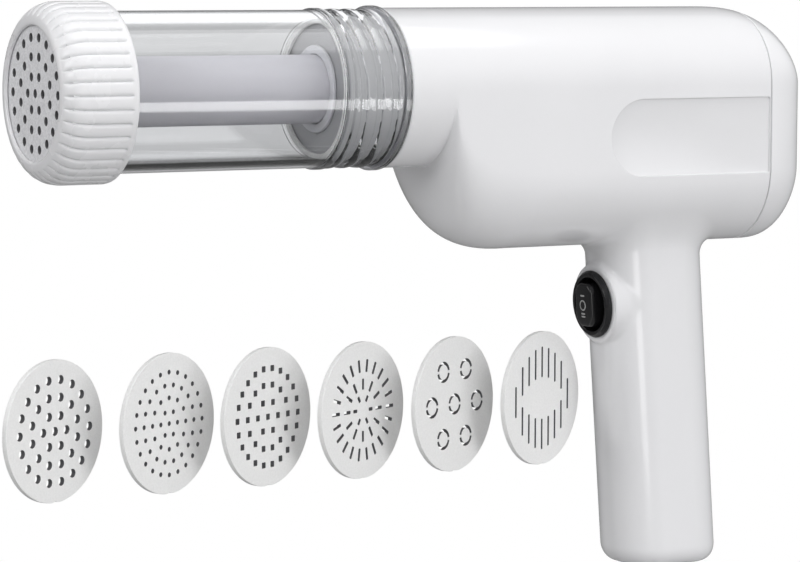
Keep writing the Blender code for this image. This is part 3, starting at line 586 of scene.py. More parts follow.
BELLY_X, BELLY_Z = bezier(BELLY, 0), bezier(BELLY, 1)


def body_field(x, y, z):
    """The deep housing: round top, straight sides, round underside that drops behind the mouth."""
    half, up, down = rear_rounding(x)
    underside = np.interp(x, BELLY_X, BELLY_Z, left=-BODY_R, right=BODY_DROP - BODY_R)
    low = np.minimum(0.0, underside + BODY_R)
    low = np.where(x >= BELLY_END, BODY_DROP, low)
    down = np.where(x >= BELLY_END, down, low - BODY_R)
    below = np.where(z < low, (low - z) / np.maximum(low - down, 0.5), 0.0)
    tall = np.where(z > 0, z / np.maximum(up, 0.5), below)
    return (np.hypot(y / half, tall) - 1) * half


def rounded_rect_field(u, v, width, height, corner):
    a, b = np.abs(u) - width / 2 + corner, np.abs(v) - height / 2 + corner
    outside = np.hypot(np.maximum(a, 0), np.maximum(b, 0))
    return outside + np.minimum(np.maximum(a, b), 0) - corner


def grip_field(x, y, z, inset=0.0, edge=4.9):
    """The leaning handle, drawn in by inset, with a rounded edge at its foot."""
    axis_x = GRIP_TOP_X + (GRIP_TOP_Z - z) * GRIP_LEAN
    side = rounded_rect_field(x - axis_x, y, GRIP_X, GRIP_Y, GRIP_CORNER) + inset
    foot = (GRIP_BOTTOM + inset - z) * 0.78
    return np.maximum(round_meet(side, foot, edge), z + 40.0)


def boss_field(x, y, z):
    """A low round boss under the switch."""
    c, s = math.cos(LEAN), math.sin(LEAN)
    dx, dz = x - SWITCH_X, z - SWITCH_Z
    inward, up = c * dx + s * dz, -s * dx + c * dz
    boss = round_meet(np.hypot(y, up) - 13.9, -SWITCH_BOSS - inward, 1.0)
    return np.maximum(boss, inward - 9.0)


def housing_field(x, y, z):
    outer = round_join(body_field(x, y, z), grip_field(x, y, z), 6.0)
    outer = round_join(outer, boss_field(x, y, z), 1.3)
    return np.maximum(np.maximum(outer, 1.2 - x), x - 147.6)


def cavity_field(x, y, z):
    """The hollow inside, a wall's thickness in. The body's field is divided by its slope."""
    e = 0.05
    body = body_field(x, y, z)
    slope_x = (body_field(x + e, y, z) - body) / e
    slope_y = (body_field(x, y + e, z) - body) / e
    slope_z = (body_field(x, y, z + e) - body) / e
    slope = np.hypot(np.hypot(slope_x, slope_y), slope_z)
    grip = grip_field(x, y, z, inset=WALL, edge=3.0)
    inner = np.minimum(body / np.maximum(slope, 1.0) + WALL, grip)
    return np.maximum(np.maximum(inner, 10.4 - x), x - 149.0)


# ---------------------------------------------------------------- housing
def body_ring(x, grow=0.0, n=48):
    """Body outline at x behind the belly, moved outwards by grow."""
    half, up, down = (float(v) for v in rear_rounding(x))
    angles = np.pi * np.arange(n + 1) / n
    wide, deep = half + grow, BODY_DROP - down + grow
    top = [(x, wide * math.cos(t), (up + grow) * math.sin(t)) for t in angles]
    low = [(x, -wide * math.cos(t), BODY_DROP - deep * math.sin(t)) for t in angles]
    return top + low


def foot_prism(width, height, corner, rows):
    """Rounded block about the handle's foot, with rows of (z, growth of the whole size)."""
    return loft([
        [(FOOT_X + x, y, z) for x, y in rounded_rect(width + g, height + g, corner + g / 2)]
        for z, g in rows
    ])


def panel_outline(grow, n=40):
    """D shape in (x, z): a half-round end towards -X and a square end towards +X."""
    axis_z = -17.4
    r, end_x = 13.1 + grow, 144.6 + grow
    points = []
    for i in range(n + 1):
        a = math.pi * i / n
        points.append((93.0 - r * math.sin(a), axis_z + r * math.cos(a)))
    k = 0.9 + grow
    for z, start in ((axis_z - r + k, -math.pi / 2), (axis_z + r - k, 0.0)):
        for i in range(7):
            a = start + math.pi / 2 * i / 6
            points.append((end_x - k + k * math.cos(a), z + k * math.sin(a)))
    return points


def panel_recess():
    """Cutter for the shallow D-shaped recess in the -Y side."""
    depth, edge = 0.8, 0.22
    floor_y = -BODY_R + depth
    rows = [(floor_y, -0.25), (floor_y - 0.1, -0.08), (floor_y - 0.25, 0.0)]
    rows += [(-BODY_R + out, grow) for out, grow in edge_arc(edge)]
    rows += [(-BODY_R - 0.02, edge + 0.02), (-BODY_R - 3.0, edge + 0.02)]
    return loft([[(x, y, z) for x, z in panel_outline(grow)] for y, grow in rows])


def seam_trim():
    """Cuts the housing off at the rear seam and rounds its edge."""
    edge = [body_ring(SEAM_X - back, -inset) for back, inset in reversed(edge_arc(SEAM_EDGE))]
    start = SEAM_X - SEAM_EDGE - 0.03
    return loft(edge + [body_ring(start, 0.06), body_ring(start, 6.0), body_ring(152.0, 6.0)])


def mouth_trim():
    """Cuts the housing off at the mouth and rounds its edge."""
    edge = [(MOUTH_X + back, BODY_R - inset) for back, inset in reversed(edge_arc(0.8))]
    start = MOUTH_X + 0.84
    outside = [(start, BODY_R + 0.06), (start, BODY_R + 6), (-3.0, BODY_R + 6)]
    return lathe([(-3.0, 0), (MOUTH_X, 0)] + edge + outside, 160)


def make_housing():
    skin = field_solid(housing_field, (-0.4, -29.2, -169.6), (149.6, 29.2, 28.6),
                       step=0.8, rounds=3, relax=3)
    hollow = field_solid(cavity_field, (8.0, -26.8, -168.0), (151.0, 26.8, 27.0),
                         step=1.7, rounds=2, relax=1)
    mouth_bore = [(-2, 0), (8.0, 0), (8.0, 23.9), (MOUTH_X + 0.5, 23.9), (MOUTH_X, 24.4),
                  (-2, 24.4)]
    web_bore = [(7.0, 0), (11.4, 0), (11.4, 17.0), (7.0, 17.0)]
    switch_hole = [(-6, 0), (16, 0), (16, 10.2), (-6, 10.2)]
    foot_rows = ((-162.0, 0.0), (GRIP_BOTTOM + 0.4, 0.0), (GRIP_BOTTOM, 0.8),
                 (GRIP_BOTTOM - 2, 0.8))
    cuts = (
        seam_trim(),
        mouth_trim(),
        hollow,
        lathe(mouth_bore, 160),
        lathe(web_bore, 96),
        lathe(switch_hole, 96, matrix=SWITCH_FRAME),
        foot_prism(25.0, 18.6, 6.0, foot_rows),
        panel_recess(),
    )
    shell = carve(skin, *[("DIFFERENCE", cut) for cut in cuts])
    shell = wrap("housing_shell", shell, "white", 33, weighted=False)
    fit(shell, "housing_body", "housing")


make_housing()


# ---------------------------------------------------------------- rear cap
def make_rear_cap():
    """Domed cap behind a narrow seam, with two posts inside that have stepped holes."""
    gap = 0.3
    start = gap + SEAM_EDGE
    rows = [body_ring(SEAM_X + gap, -WALL)]
    rows += [body_ring(SEAM_X + gap + back, -inset) for inset, back in edge_arc(SEAM_EDGE)]
    for k in range(1, 45):
        reach = math.sin(math.pi / 2 * k / 44)
        rows.append(body_ring(SEAM_X + start + (REAR_X - SEAM_X - start) * reach))
    inside = [body_ring(SEAM_X - 1.0, -WALL), body_ring(150.0, -WALL)]
    for k in range(5, 15):
        reach = math.sin(math.pi / 2 * k / 14)
        inside.append(body_ring(SEAM_X + (REAR_X - 3.2 - SEAM_X) * reach, -WALL))
    steps = [("DIFFERENCE", loft(inside))]
    stepped_hole = [(140.0, 0), (140.0, 1.7), (149.6, 1.7), (149.6, 3.2), (170.0, 3.2), (170.0, 0)]
    for z, end in ((12.5, 159.6), (-40.0, 161.4)):
        post = [(146.4, 0), (146.4, 4.4), (end, 4.4), (end, 0)]
        steps.append(("UNION", lathe(post, 32, (0, z))))
        steps.append(("DIFFERENCE", lathe(stepped_hole, 48, (0, z))))
    cap = wrap("rear_cap_shell", carve(loft(rows), *steps), "white", 33, weighted=False)
    fit(cap, "housing_body", "rear_cap")


make_rear_cap()

# ---------------------------------------------------------------- nozzle cap, with ribs round it
RIBS, RIB_DEPTH = 40, 1.0
CAP_R, CAP_BORE_R = 29.2, 26.4
# (x, radius) from the front lip over the shoulder, and round the rear edge
CAP_SHOULDER = (
    (-120.2, 22.6), (-120.05, 23.6), (-119.7, 24.7), (-119.0, 25.75), (-118.2, 26.6),
    (-117.2, 27.45), (-116.0, 28.15), (-114.6, 28.7), (-113.0, 29.07), (-111.2, CAP_R),
)
CAP_REAR_EDGE = ((-97.1, CAP_R), (-96.2, 29.0), (-95.75, 28.6), (-95.6, 28.1))
CAP_SIDE_X = [*np.linspace(-110.6, -98.6, 8), -98.2, -97.9, -97.6, -97.3, -97.1]
CAP_PROFILE = [
    (-119.2, 21.6), (-119.75, 21.62), (-120.05, 21.8), (-120.18, 22.15),
    *smooth_path(CAP_SHOULDER, 5),
    *[(x, CAP_R) for x in CAP_SIDE_X],
    *smooth_path(CAP_REAR_EDGE, 3)[1:],
    (-95.6, 26.9), (-96.1, CAP_BORE_R), (-117.3, CAP_BORE_R), (-117.3, 23.4), (-119.2, 23.4),
]


def groove_depth(x, r):
    """The grooves fade in over the shoulder and out before the rear edge."""
    fade = clamp((r - 24.3) / 2.2) * clamp((-97.6 - x) / 0.9)
    return RIB_DEPTH * fade * fade * (3 - 2 * fade)


def across_rib(angles):
    """0 on a rib's crown and 1 in the groove: a softly rounded rib and a narrow groove."""
    phase = np.abs(((angles * RIBS / (2 * np.pi)) % 1.0) - 0.5) * 2
    return 0.22 * phase**2 + 0.78 * phase**7


def ribbed(i, x, r, angles):
    """Sinks the grooves along the profile's outward direction."""
    x0, r0 = CAP_PROFILE[max(i - 1, 0)]
    x1, r1 = CAP_PROFILE[min(i + 1, len(CAP_PROFILE) - 1)]
    dx, dr = x1 - x0, r1 - r0
    size = math.hypot(dx, dr)
    depth, across = groove_depth(x, r), across_rib(angles)
    return x - -dr / size * depth * across, r - dx / size * depth * across


nozzle_cap = to_object("ribbed_nozzle_cap", lathe(CAP_PROFILE, 960, warp=ribbed), "cap", 40)
fit(nozzle_cap, "cap_body", "nozzle_cap")


# ---------------------------------------------------------------- pierced discs
# A hole is a function that gives its (y, z) outline, moved outwards by grow.
def circle(r, n, y=0.0, z=0.0):
    return lambda grow: [(y + dy, z + dz) for dy, dz in on_circle(n, r + grow)]


def slot(y, z, width, height, angle=0.0, corner=0.3):
    def outline(grow):
        c, s = math.cos(angle), math.sin(angle)
        radius = min(corner + grow, width / 2 + grow - 0.01, height / 2 + grow - 0.01)
        rect = rounded_rect(width + 2 * grow, height + 2 * grow, radius, 5)
        return [(y + a * c - b * s, z + a * s + b * c) for a, b in rect]

    return outline


def arc_slot(y, z, inner_r, outer_r, start, end, n=14):
    def side(r, first, sweep):
        turns = [first + sweep * i / n for i in range(n + 1)]
        return [(y + r * math.cos(a), z + r * math.sin(a)) for a in turns]

    def outline(grow):
        d, e = grow / outer_r, grow / inner_r
        outer = side(outer_r + grow, start - d, end - start + 2 * d)
        return outer + side(inner_r - grow, end + e, -(end - start + 2 * e))

    return outline


def rim(r, notch, n=168):
    """Outer edge, drawn in by a positive grow, with a small notch at the bottom."""

    def outline(grow):
        points = []
        for i in range(n):
            a = 2 * math.pi * i / n - math.pi / 2
            off = abs((a + math.pi / 2 + math.pi) % (2 * math.pi) - math.pi)
            dent = notch * max(0.0, 1 - (off / 0.045) ** 2)
            points.append(((r - grow - dent) * math.cos(a), (r - grow - dent) * math.sin(a)))
        return points

    return outline


def pierced(edge, holes, x0, x1):
    """A plate from x0 up to x1 with true holes, and a small rounding on every edge."""
    rim_bevel, hole_bevel = 0.12, 0.1
    bm = bmesh.new()

    def skin(a, b):
        n = len(a)
        return [bm.faces.new((a[k], a[(k + 1) % n], b[(k + 1) % n], b[k])) for k in range(n)]

    walls = [(edge, rim_bevel)] + [(hole, hole_bevel) for hole in holes]
    ends = []
    for x, inward in ((x0, 1), (x1, -1)):
        edges, last_rings = [], []
        for shape, size in walls:
            rings = []
            for t in (0.0, 0.5, 1.0):
                # from the outline on the flat face down to the wall
                grow = size * (1 - math.sin(math.pi / 2 * t))
                depth = size * (1 - math.cos(math.pi / 2 * t))
                rings.append([bm.verts.new((x + inward * depth, y, z)) for y, z in shape(grow)])
            for a, b in zip(rings, rings[1:]):
                skin(a, b)
            first = rings[0]
            edges += [bm.edges.get((v, first[(k + 1) % len(first)])) for k, v in enumerate(first)]
            last_rings.append(rings[-1])
        bmesh.ops.triangle_fill(bm, use_beauty=True, edges=edges)
        ends.append(last_rings)
    # the walls of the holes take the second slot, whose dark colour is painted shade
    for w, (a, b) in enumerate(zip(*ends)):
        for face in skin(a, b):
            face.material_index = 1 if w else 0
    bmesh.ops.recalc_face_normals(bm, faces=bm.faces)
    return bm


def add_disc(name, look, holes, x0, x1, notch, matrix, body, node):
    mesh = from_bmesh(name, pierced(rim(DISC_R, notch), holes, x0, x1), matrix)
    walls = [p.material_index for p in mesh.polygons]
    obj = wrap(name, mesh, look, 40, weighted=False)
    # the second slot paints shade on the holes' walls
    mesh.materials.append(LOOKS["bore"])
    facing = matrix.to_3x3() @ Vector((1, 0, 0))
    for p, index in zip(mesh.polygons, walls):
        p.material_index = index
        # the two flat faces are shaded flat, so their rounded edges don't bend reflections
        p.use_smooth = abs(p.normal.dot(facing)) < 0.9999
    fit(obj, body, node)


def hex_holes(pitch):
    """Round holes at the centre and on three rings round it."""
    places = [(0.0, 0.0)]
    for k in range(1, 4):
        places += on_circle(6 * k, pitch * k, 0.5 if k == 2 else 0)
    return [circle(1.45, 24, y, z) for y, z in places]


def ring_holes(rings, hole):
    """The same hole at the centre and on rings of (count, radius)."""
    places = [(0.0, 0.0)] + [place for count, r in rings for place in on_circle(count, r)]
    return [hole(y, z) for y, z in places]


def radial_slots():
    holes = []
    for count, r, length in ((6, 4.3, 2.2), (12, 8.8, 3.7), (22, 15.0, 4.3)):
        for i in range(count):
            a = 2 * math.pi * i / count
            holes.append(slot(r * math.cos(a), r * math.sin(a), length, 1.15, a))
    return holes


def split_rings():
    """Seven rings, each of two arc slots with bridges between them."""
    turns = [math.pi / 3 * i for i in range(6)]
    places = [(0, 0)] + [(13.2 * math.cos(a), 13.2 * math.sin(a)) for a in turns]
    bridge = 0.15
    return [
        arc_slot(y, z, 2.55, 3.6, a, a + math.pi - 2 * bridge)
        for y, z in places
        for a in (bridge, math.pi + bridge)
    ]


def bar_slots():
    """Nine columns of upright slots, split in two except at both ends."""
    holes = []
    for k in range(-4, 5):
        y = k * 4.0
        if abs(k) < 4:
            inner, length = 7.2 - 0.58 * k**2, 10.6 - 0.27 * abs(k)
            holes += [slot(y, s * (inner + length / 2), 1.0, length) for s in (-1, 1)]
        else:
            holes.append(slot(y, 0, 1.0, 10.6))
    return holes


add_disc("pierced_die", "die", hex_holes(5.97), -118.9, -117.2, notch=0.0,
         matrix=Matrix.Identity(4), body="die_body", node="fitted_die")

DISC_T, DISC_Z, DISC_TURN = 1.8, -107.6, math.radians(25)
FINE_RINGS = ((6, 4.2), (12, 8.4), (18, 12.6), (24, 16.8))
SQUARE_RINGS = ((6, 5.35), (14, 10.7), (22, 16.1))
# pattern, x of the disc's centre, holes
DISCS = (
    ("round_holes", -113.5, hex_holes(5.55)),
    ("fine_holes", -73.3, ring_holes(FINE_RINGS, lambda y, z: circle(0.8, 16, y, z))),
    ("square_holes", -37.4,
     ring_holes(SQUARE_RINGS, lambda y, z: slot(y, z, 2.0, 2.0, corner=0.25))),
    ("radial_slots", -1.8, radial_slots()),
    ("rings", 33.6, split_rings()),
    ("bars", 68.3, bar_slots()),
)
for kind, disc_x, holes in DISCS:
    turned = Matrix.Rotation(math.pi / 2 + DISC_TURN, 4, "Z")
    add_disc(f"pattern_disc_{kind}", "disc", holes, -DISC_T / 2, DISC_T / 2, notch=0.5,
             matrix=Matrix.Translation((disc_x, 0, DISC_Z)) @ turned,
             body=f"disc_{kind}_body", node=f"disc_{kind}")

# ---------------------------------------------------------------- clear barrel, coarse thread
THREAD_PITCH, THREAD_ROOT_R, THREAD_HEIGHT = 5.8, 25.5, 0.85
THREAD_START, THREAD_END = -18.3, 0.4
# (x, radius, corner radius) of the tube
BARREL_TUBE = [
    (-21.2, 26.0, 0.0), (-115.8, 26.0, 0.5), (-115.8, 23.2, 0.4), (-21.0, 23.2, 0.0),
    (-21.0, 24.0, 0.15), (2.9, 24.0, 0.4), (2.9, 27.35, 0.8), (THREAD_END, 27.35, 0.8),
]
# (x, radius) of the collar in front of the thread
BARREL_COLLAR = [
    (THREAD_START, 26.25), (-18.45, 26.5), (-18.7, 26.6), (-20.8, 26.6), (-21.05, 26.5),
    (-21.2, 26.3),
]


def make_barrel():
    tube = rounded(BARREL_TUBE)
    thread = [(x, THREAD_ROOT_R) for x in reversed(np.arange(THREAD_START, 0.41, 0.17))]
    thread_rows = range(len(tube), len(tube) + len(thread))

    def threaded(i, x, r, angles):
        if i not in thread_rows:
            return x, r
        phase = ((x / THREAD_PITCH - angles / (2 * np.pi)) % 1.0) - 0.5
        crest = np.clip(1 - (np.abs(phase) / 0.34) ** 2, 0, 1)
        fade = clamp(x - THREAD_START) * clamp(THREAD_END - x)
        return x, r + THREAD_HEIGHT * fade * np.sqrt(crest)

    solid = lathe(tube + thread + BARREL_COLLAR, 240, warp=threaded)
    barrel = to_object("clear_barrel", solid, "clear", 45)
    return fit(barrel, "barrel_body", "barrel")


clear_barrel = make_barrel()

# ---------------------------------------------------------------- turned pieces in the barrel
# name, look, body, slot, CAD node, segments, and its section as (x, radius, corner radius)
TURNED = (
    ("nozzle_seal_ring", "seal", "barrel_body", "seal_rubber", "nozzle_gasket", 128, [
        (-116.9, 21.9, 0.2), (-116.9, 25.9, 0.2), (-116.1, 25.9, 0.2), (-116.1, 21.9, 0.2),
    ]),
    ("barrel_seal_ring", "seal", "barrel_draw_body", "seal_rubber", "barrel_gasket", 160, [
        (-20.7, 21.5, 0.3), (-20.7, 23.6, 0.3), (-19.6, 23.6, 0.2), (-19.6, 21.5, 0.2),
    ]),
    ("socket_ring", "socket", "housing_body", "grey_plastic", "barrel_socket", 160, [
        (-19.3, 12.6, 0.3), (-19.3, 23.6, 0.5), (7.7, 23.6, 0.3), (7.7, 17.5, 0.2),
        (1.7, 17.5, 0.2), (1.7, 21.2, 0.0), (-16.8, 21.2, 0.0), (-16.8, 14.8, 0.0),
        (-12.0, 14.8, 0.2), (-12.0, 12.6, 0.2),
    ]),
    ("plunger_guide_bush", "bush", "housing_body", "rod_plastic", "plunger_bush", 128, [
        (-20.6, 11.6, 0.2), (-20.6, 14.5, 0.45), (-19.6, 14.5, 0.1), (-19.6, 12.3, 0.0),
        (-11.4, 12.3, 0.2), (-11.4, 11.6, 0.1),
    ]),
    ("plunger_piston", "bush", "plunger_body", "grey_plastic", "piston", 160, [
        (-115.6, 4.4, 0.2), (-115.6, 21.9, 0.0), (-114.6, 22.8, 0.4), (-112.9, 22.8, 0.1),
        (-112.9, 20.4, 0.1), (-109.7, 20.4, 0.1), (-109.7, 22.8, 0.1), (-106.8, 22.8, 0.4),
        (-106.0, 22.0, 0.3), (-106.0, 2.5, 0.1), (-112.6, 2.5, 0.1), (-112.6, 4.4, 0.1),
    ]),
    ("piston_lip_seal", "seal", "plunger_body", "seal_rubber", "piston_seal", 160, [
        (-112.6, 20.7, 0.1), (-112.6, 22.0, 0.2), (-111.9, 22.95, 0.3), (-110.7, 22.95, 0.3),
        (-110.0, 22.0, 0.2), (-110.0, 20.7, 0.1),
    ]),
)
for name, look, body, slot_name, node, segments, section in TURNED:
    piece = to_object(name, lathe(rounded(section), segments), look)
    fit(piece, body, node)
    if look == "socket":
        # the outer side is a little smoother, and painted paler than the front face: painted light
        # on the side seen through the clear collar
        piece.data.materials.append(LOOKS["socket_side"])
        for face in piece.data.polygons:
            r = math.hypot(face.center.y, face.center.z)
            if face.center.x > -18.6 * MM and r > 23.0 * MM:
                face.material_index = 1


def make_plunger_rod():
    """A tube with a groove of 3 mm along its +Y side."""
    section = [(-105.7, 2.4, 0.1), (-105.7, 11.36, 0.5), (8.0, 11.36, 0.4), (8.0, 8.5, 0.2),
               (-101.0, 8.5, 0.2), (-101.0, 2.4, 0.1)]
    square = ((10.3, -1.5), (13.0, -1.5), (13.0, 1.5), (10.3, 1.5))
    keyway = loft([[(x, y, z) for y, z in square] for x in (-104.8, 12.0)])
    mesh = carve(lathe(rounded(section), 144), ("DIFFERENCE", keyway))
    fit(wrap("plunger_rod", mesh, "rod", 33), "plunger_body", "plunger_tube")


make_plunger_rod()

# ---------------------------------------------------------------- switch
# (x, radius, corner radius) in the switch's frame
BEZEL = [
    (9.8, 0, 0.0), (9.8, 9.85, 0.3), (-1.4, 9.85, 0.0), (-1.4, 11.7, 0.2), (-2.1, 11.7, 0.45),
    (-3.4, 10.75, 0.5), (-3.4, 9.5, 0.35), (-2.4, 9.2, 0.2), (7.2, 9.2, 0.2), (7.2, 0, 0.0),
]
bezel = to_object("switch_bezel", lathe(rounded(BEZEL), 128, matrix=SWITCH_FRAME), "black")
fit(bezel, "housing_body", "switch_body")

ROCKER_Z, ROCKER_Y, ROCKER_CORNER = 15.2, 10.4, 3.4
# base of the rocker: x, scale across, scale up
ROCKER_BASE = ((5.6, 0.86, 0.58), (5.1, 0.9, 0.62), (-1.0, 1, 0.98))
# rings of its face, from the edge to the middle: scale of the outline, depth below the face
ROCKER_RINGS = (
    (1.0, 2.0), (0.998, 1.3), (0.985, 0.75), (0.96, 0.36), (0.925, 0.13), (0.88, 0.03),
    (0.82, 0.0), (0.7, 0.0), (0.5, 0.0), (0.28, 0.0), (0.1, 0.0),
)


def rocker_face(y, z):
    """Local x of the outer face, which falls away a little to its ends and sides."""
    u, v = z / (ROCKER_Z / 2), y / (ROCKER_Y / 2)
    return -6.0 + 0.35 * abs(u) ** 2.2 + 0.18 * v * v


def make_rocker():
    """A rounded pad that stands proud of the bezel."""
    outline = rounded_rect(ROCKER_Z, ROCKER_Y, ROCKER_CORNER)
    rows = [[(x, y * across, z * up) for z, y in outline] for x, across, up in ROCKER_BASE]
    for k, sink in ROCKER_RINGS:
        rows.append([(rocker_face(y * k, z * k) + sink, y * k, z * k) for z, y in outline])
    verts, faces = loft(rows)
    verts = [tuple(SWITCH_FRAME @ Vector(v)) for v in verts]
    pad = to_object("switch_rocker_pad", (verts, faces), "black", 35, weighted=False)
    fit(pad, "rocker_body", "switch_rocker")


def add_mark(name, shapes):
    """A thin raised mark on the rocker's face, from pairs of outer and inner (z, y) loops."""
    bm = bmesh.new()
    for shape in shapes:
        (top_out, top_in), (low_out, low_in) = [
            [[bm.verts.new((rocker_face(y, z) - lift, y, z)) for z, y in loop] for loop in shape]
            for lift in (0.06, -0.15)
        ]
        sides = ((top_out, top_in), (low_out, low_in), (top_out, low_out), (top_in, low_in))
        for k in range(len(top_out)):
            j = (k + 1) % len(top_out)
            for a, b in sides:
                bm.faces.new((a[k], a[j], b[j], b[k]))
    bmesh.ops.recalc_face_normals(bm, faces=bm.faces)
    mesh = from_bmesh(name, bm, SWITCH_FRAME)
    fit(wrap(name, mesh, "marks", 35, weighted=False), "rocker_body")


def bar_loops(z, height, width=2.3):
    """A short bar about y = 0, with a hair-thin slit for its inner loop."""
    t = min(height, width)
    outer = rounded_rect(height, width, t * 0.3, 5)
    inner = rounded_rect(height - t * 0.9, width - t * 0.9, t * 0.04, 5)
    return [[(z + a, b) for a, b in loop] for loop in (outer, inner)]


make_rocker()
ZERO_R, ZERO_LINE = 1.85, 0.42
add_mark("switch_mark_one", [bar_loops(3.35, 0.55)])
add_mark("switch_mark_zero", [[on_circle(40, r) for r in (ZERO_R, ZERO_R - ZERO_LINE)]])
add_mark("switch_mark_two", [bar_loops(-2.95, 0.5), bar_loops(-3.95, 0.5)])


# ---------------------------------------------------------------- plate in the handle's foot
def make_base_plate():
    """The charge socket's plate, with a rounded opening."""
    plate = foot_prism(24.4, 18.0, 5.7, (
        (-165.2, 0.0), (GRIP_BOTTOM + 0.3, 0.0), (GRIP_BOTTOM + 0.09, -0.18), (GRIP_BOTTOM, -0.6),
    ))
    opening = foot_prism(9.6, 3.9, 1.9, (
        (-163.0, 0.0), (GRIP_BOTTOM + 0.5, 0.0), (GRIP_BOTTOM, 0.9), (GRIP_BOTTOM - 2, 0.9),
    ))
    mesh = carve(plate, ("DIFFERENCE", opening))
    fit(wrap("handle_base_plate", mesh, "white"), "housing_body", "grip_base")


make_base_plate()

# ---------------------------------------------------------------- finishes of the CAD that stays
# part of a CAD node's name, look; every other node is steel
CAD_LOOKS = (
    ("screw_gear", "gear"), ("drive_nut", "brass"), ("screw_bushing", "brass"),
    ("motor_pinion", "brass"), ("battery_cell", "sleeve"), ("charge_board", "board"),
    ("lead_red", "red"), ("lead_black", "black"), ("terminal", "brass"),
)
for node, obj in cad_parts.items():
    if obj.hide_render:
        continue
    look = next((value for key, value in CAD_LOOKS if key in node), "steel")
    if not obj.data.materials:
        obj.data.materials.append(LOOKS[look])
    for material_slot in obj.material_slots:
        material_slot.material = LOOKS[look]


# ---------------------------------------------------------------- stage
def floor_material():
    """Pale and matt, but plain white to the camera, with a glow of its own through plastic."""
    g = Nodes("pale_floor")
    g.tint(g.noise(scale=3.0, detail=2.0), (0.35, 0.35, 0.35), (0.38, 0.38, 0.38))
    g.set(Roughness=0.9)
    path = g.new("ShaderNodeLightPath")
    # seen through clear plastic: dark close below, even behind, and brighter higher up
    place = g.new("ShaderNodeSeparateXYZ")
    g.link(g.coord.outputs["Object"], place.inputs["Vector"])
    behind = g.new("ShaderNodeEmission", Color=(0.98, 0.985, 1.0, 1))
    table = g.span(place.outputs["Y"], low=0.01, high=0.58, at=(0.85, 1.25))
    room = g.span(place.outputs["Z"], low=1.0, high=2.6, at=(0.8, 1.6))
    both = g.new("ShaderNodeMath", operation="MULTIPLY")
    g.link(table, both.inputs[0])
    g.link(room, both.inputs[1])
    g.link(both.outputs["Value"], behind.inputs["Strength"])
    through = path.outputs["Is Transmission Ray"]
    seen = g.mix(through, g.shader.outputs["BSDF"], behind.outputs["Emission"])
    glow = g.new("ShaderNodeEmission", Color=(1, 1, 1, 1), Strength=1.0)
    g.surface(g.mix(path.outputs["Is Camera Ray"], seen, glow.outputs["Emission"]))
    return g.mat


def make_floor():
    """A plain floor that sweeps up behind, in metres."""
    front_y, sweep_y, top_z, floor_z, sweep_r, half_width = -6.0, 2.4, 6.0, -0.42, 1.6, 8.0
    profile = [(front_y, floor_z)]
    for t in np.linspace(0, math.pi / 2, 24):
        y = sweep_y + sweep_r * math.sin(t)
        profile.append((y, floor_z + sweep_r * (1 - math.cos(t))))
    profile.append((sweep_y + sweep_r, top_z))
    verts = [(x, y, z) for y, z in profile for x in (-half_width, half_width)]
    starts = range(0, 2 * (len(profile) - 1), 2)
    mesh = bpy.data.meshes.new("floor")
    mesh.from_pydata(verts, [], [(i, i + 1, i + 3, i + 2) for i in starts])
    mesh.shade_smooth()
    floor = add_object("floor", mesh)
    floor.location = SHIFT
    mesh.materials.append(floor_material())


make_floor()


# ---------------------------------------------------------------- light
def make_world():
    """A grey room that brightens upwards, and towards +X."""
    world = bpy.data.worlds.new("studio")
    bpy.context.scene.world = world
    world.use_nodes = True
    tree = world.node_tree
    background = tree.nodes["Background"]
    coord = add_node(tree, "ShaderNodeTexCoord")
    direction = add_node(tree, "ShaderNodeSeparateXYZ")
    ramp = add_node(tree, "ShaderNodeValToRGB")
    stops = ramp.color_ramp.elements
    stops[0].position, stops[0].color = 0.0, (0.18, 0.18, 0.19, 1)
    stops[1].position, stops[1].color = 1.0, (1.0, 1.0, 1.0, 1)
    for at, grey in ((0.44, 0.30), (0.52, 0.62), (0.72, 0.9)):
        stops.new(at).color = (grey, grey, grey * 1.01, 1)
    tree.links.new(coord.outputs["Generated"], direction.inputs["Vector"])
    height = map_range(tree, direction.outputs["Z"], low=0.0, high=1.0, at=(-1.0, 1.0))
    strength = map_range(tree, direction.outputs["X"], low=0.40, high=0.64, at=(-1.0, 0.6))
    tree.links.new(height, ramp.inputs["Fac"])
    tree.links.new(ramp.outputs["Color"], background.inputs["Color"])
    tree.links.new(strength, background.inputs["Strength"])


def area(name, place, target, size, power, diffuse=True, glossy=True, through=True):
    """A rectangular lamp aimed at a target. The flags say which rays see it."""
    lamp = bpy.data.lights.new(name, "AREA")
    lamp.shape, lamp.size, lamp.size_y, lamp.energy = "RECTANGLE", size[0], size[1], power
    obj = bpy.data.objects.new(name, lamp)
    obj.location = Vector(place) + SHIFT
    aim = Vector(target) - Vector(place)
    obj.rotation_euler = aim.to_track_quat("-Z", "Y").to_euler()
    obj.visible_diffuse, obj.visible_glossy, obj.visible_transmission = diffuse, glossy, through
    bpy.context.scene.collection.objects.link(obj)
    return obj


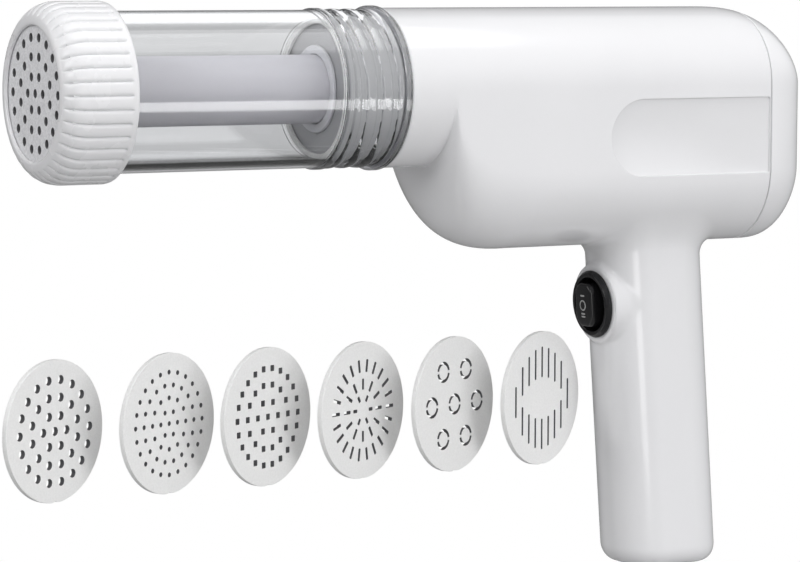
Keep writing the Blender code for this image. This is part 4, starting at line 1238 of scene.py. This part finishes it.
make_world()
area("top_softbox", place=(0.05, -0.25, 1.1), target=(0.03, 0.0, -0.03), size=(1.3, 0.8),
     power=5.6)
area("front_softbox", place=(0.35, -1.25, 0.50), target=(0.05, 0.0, -0.06), size=(0.7, 0.7),
     power=4.3, glossy=False, through=False)
area("low_fill", place=(0.75, -1.00, -0.25), target=(0.10, 0.0, -0.08), size=(0.7, 0.5),
     power=3.2, glossy=False, through=False)
area("side_softbox", place=(-1.15, -0.45, 0.55), target=(-0.08, 0.0, 0.0), size=(0.5, 0.5),
     power=4.0)
area("rim_softbox", place=(-1.00, 0.60, 0.35), target=(-0.12, 0.0, 0.0), size=(0.5, 0.6),
     power=2.2, through=False)
area("handle_strip", place=(-0.42, -1.22, -0.10), target=(0.09, 0.0, -0.11), size=(0.40, 0.9),
     power=2.9)
barrel_strip = area("barrel_strip", place=(0.34, -0.77, -0.29), target=(-0.06, 0.0, -0.01),
                    size=(1.2, 0.20), power=3.6, diffuse=False)
# the strip is there for the clear barrel's long highlight, and lights nothing else
strip_targets = bpy.data.collections.new("strip_targets")
strip_targets.objects.link(clear_barrel)
barrel_strip.light_linking.receiver_collection = strip_targets


# ---------------------------------------------------------------- camera
def make_camera():
    yaw, pitch, roll = 0.508538, 0.0922434, 0.00295909  # radians
    place = Vector((-0.54609, -1.00296, 0.04136))
    level = math.cos(pitch)
    forward = Vector((math.sin(yaw) * level, math.cos(yaw) * level, -math.sin(pitch)))
    right = Vector((math.cos(yaw), -math.sin(yaw), 0))
    upward = right.cross(forward)
    c, s = math.cos(roll), math.sin(roll)
    turn = Matrix((c * right + s * upward, -s * right + c * upward, -forward)).transposed()
    camera = bpy.data.objects.new("camera", bpy.data.cameras.new("camera"))
    camera.matrix_world = Matrix.Translation(SHIFT + place) @ turn.to_4x4()
    camera.data.sensor_width, camera.data.lens = 36.0, 154.68
    camera.data.clip_start, camera.data.clip_end = 0.01, 30.0
    bpy.context.scene.collection.objects.link(camera)
    bpy.context.scene.camera = camera


make_camera()
bpy.context.scene.view_settings.view_transform = "Standard"
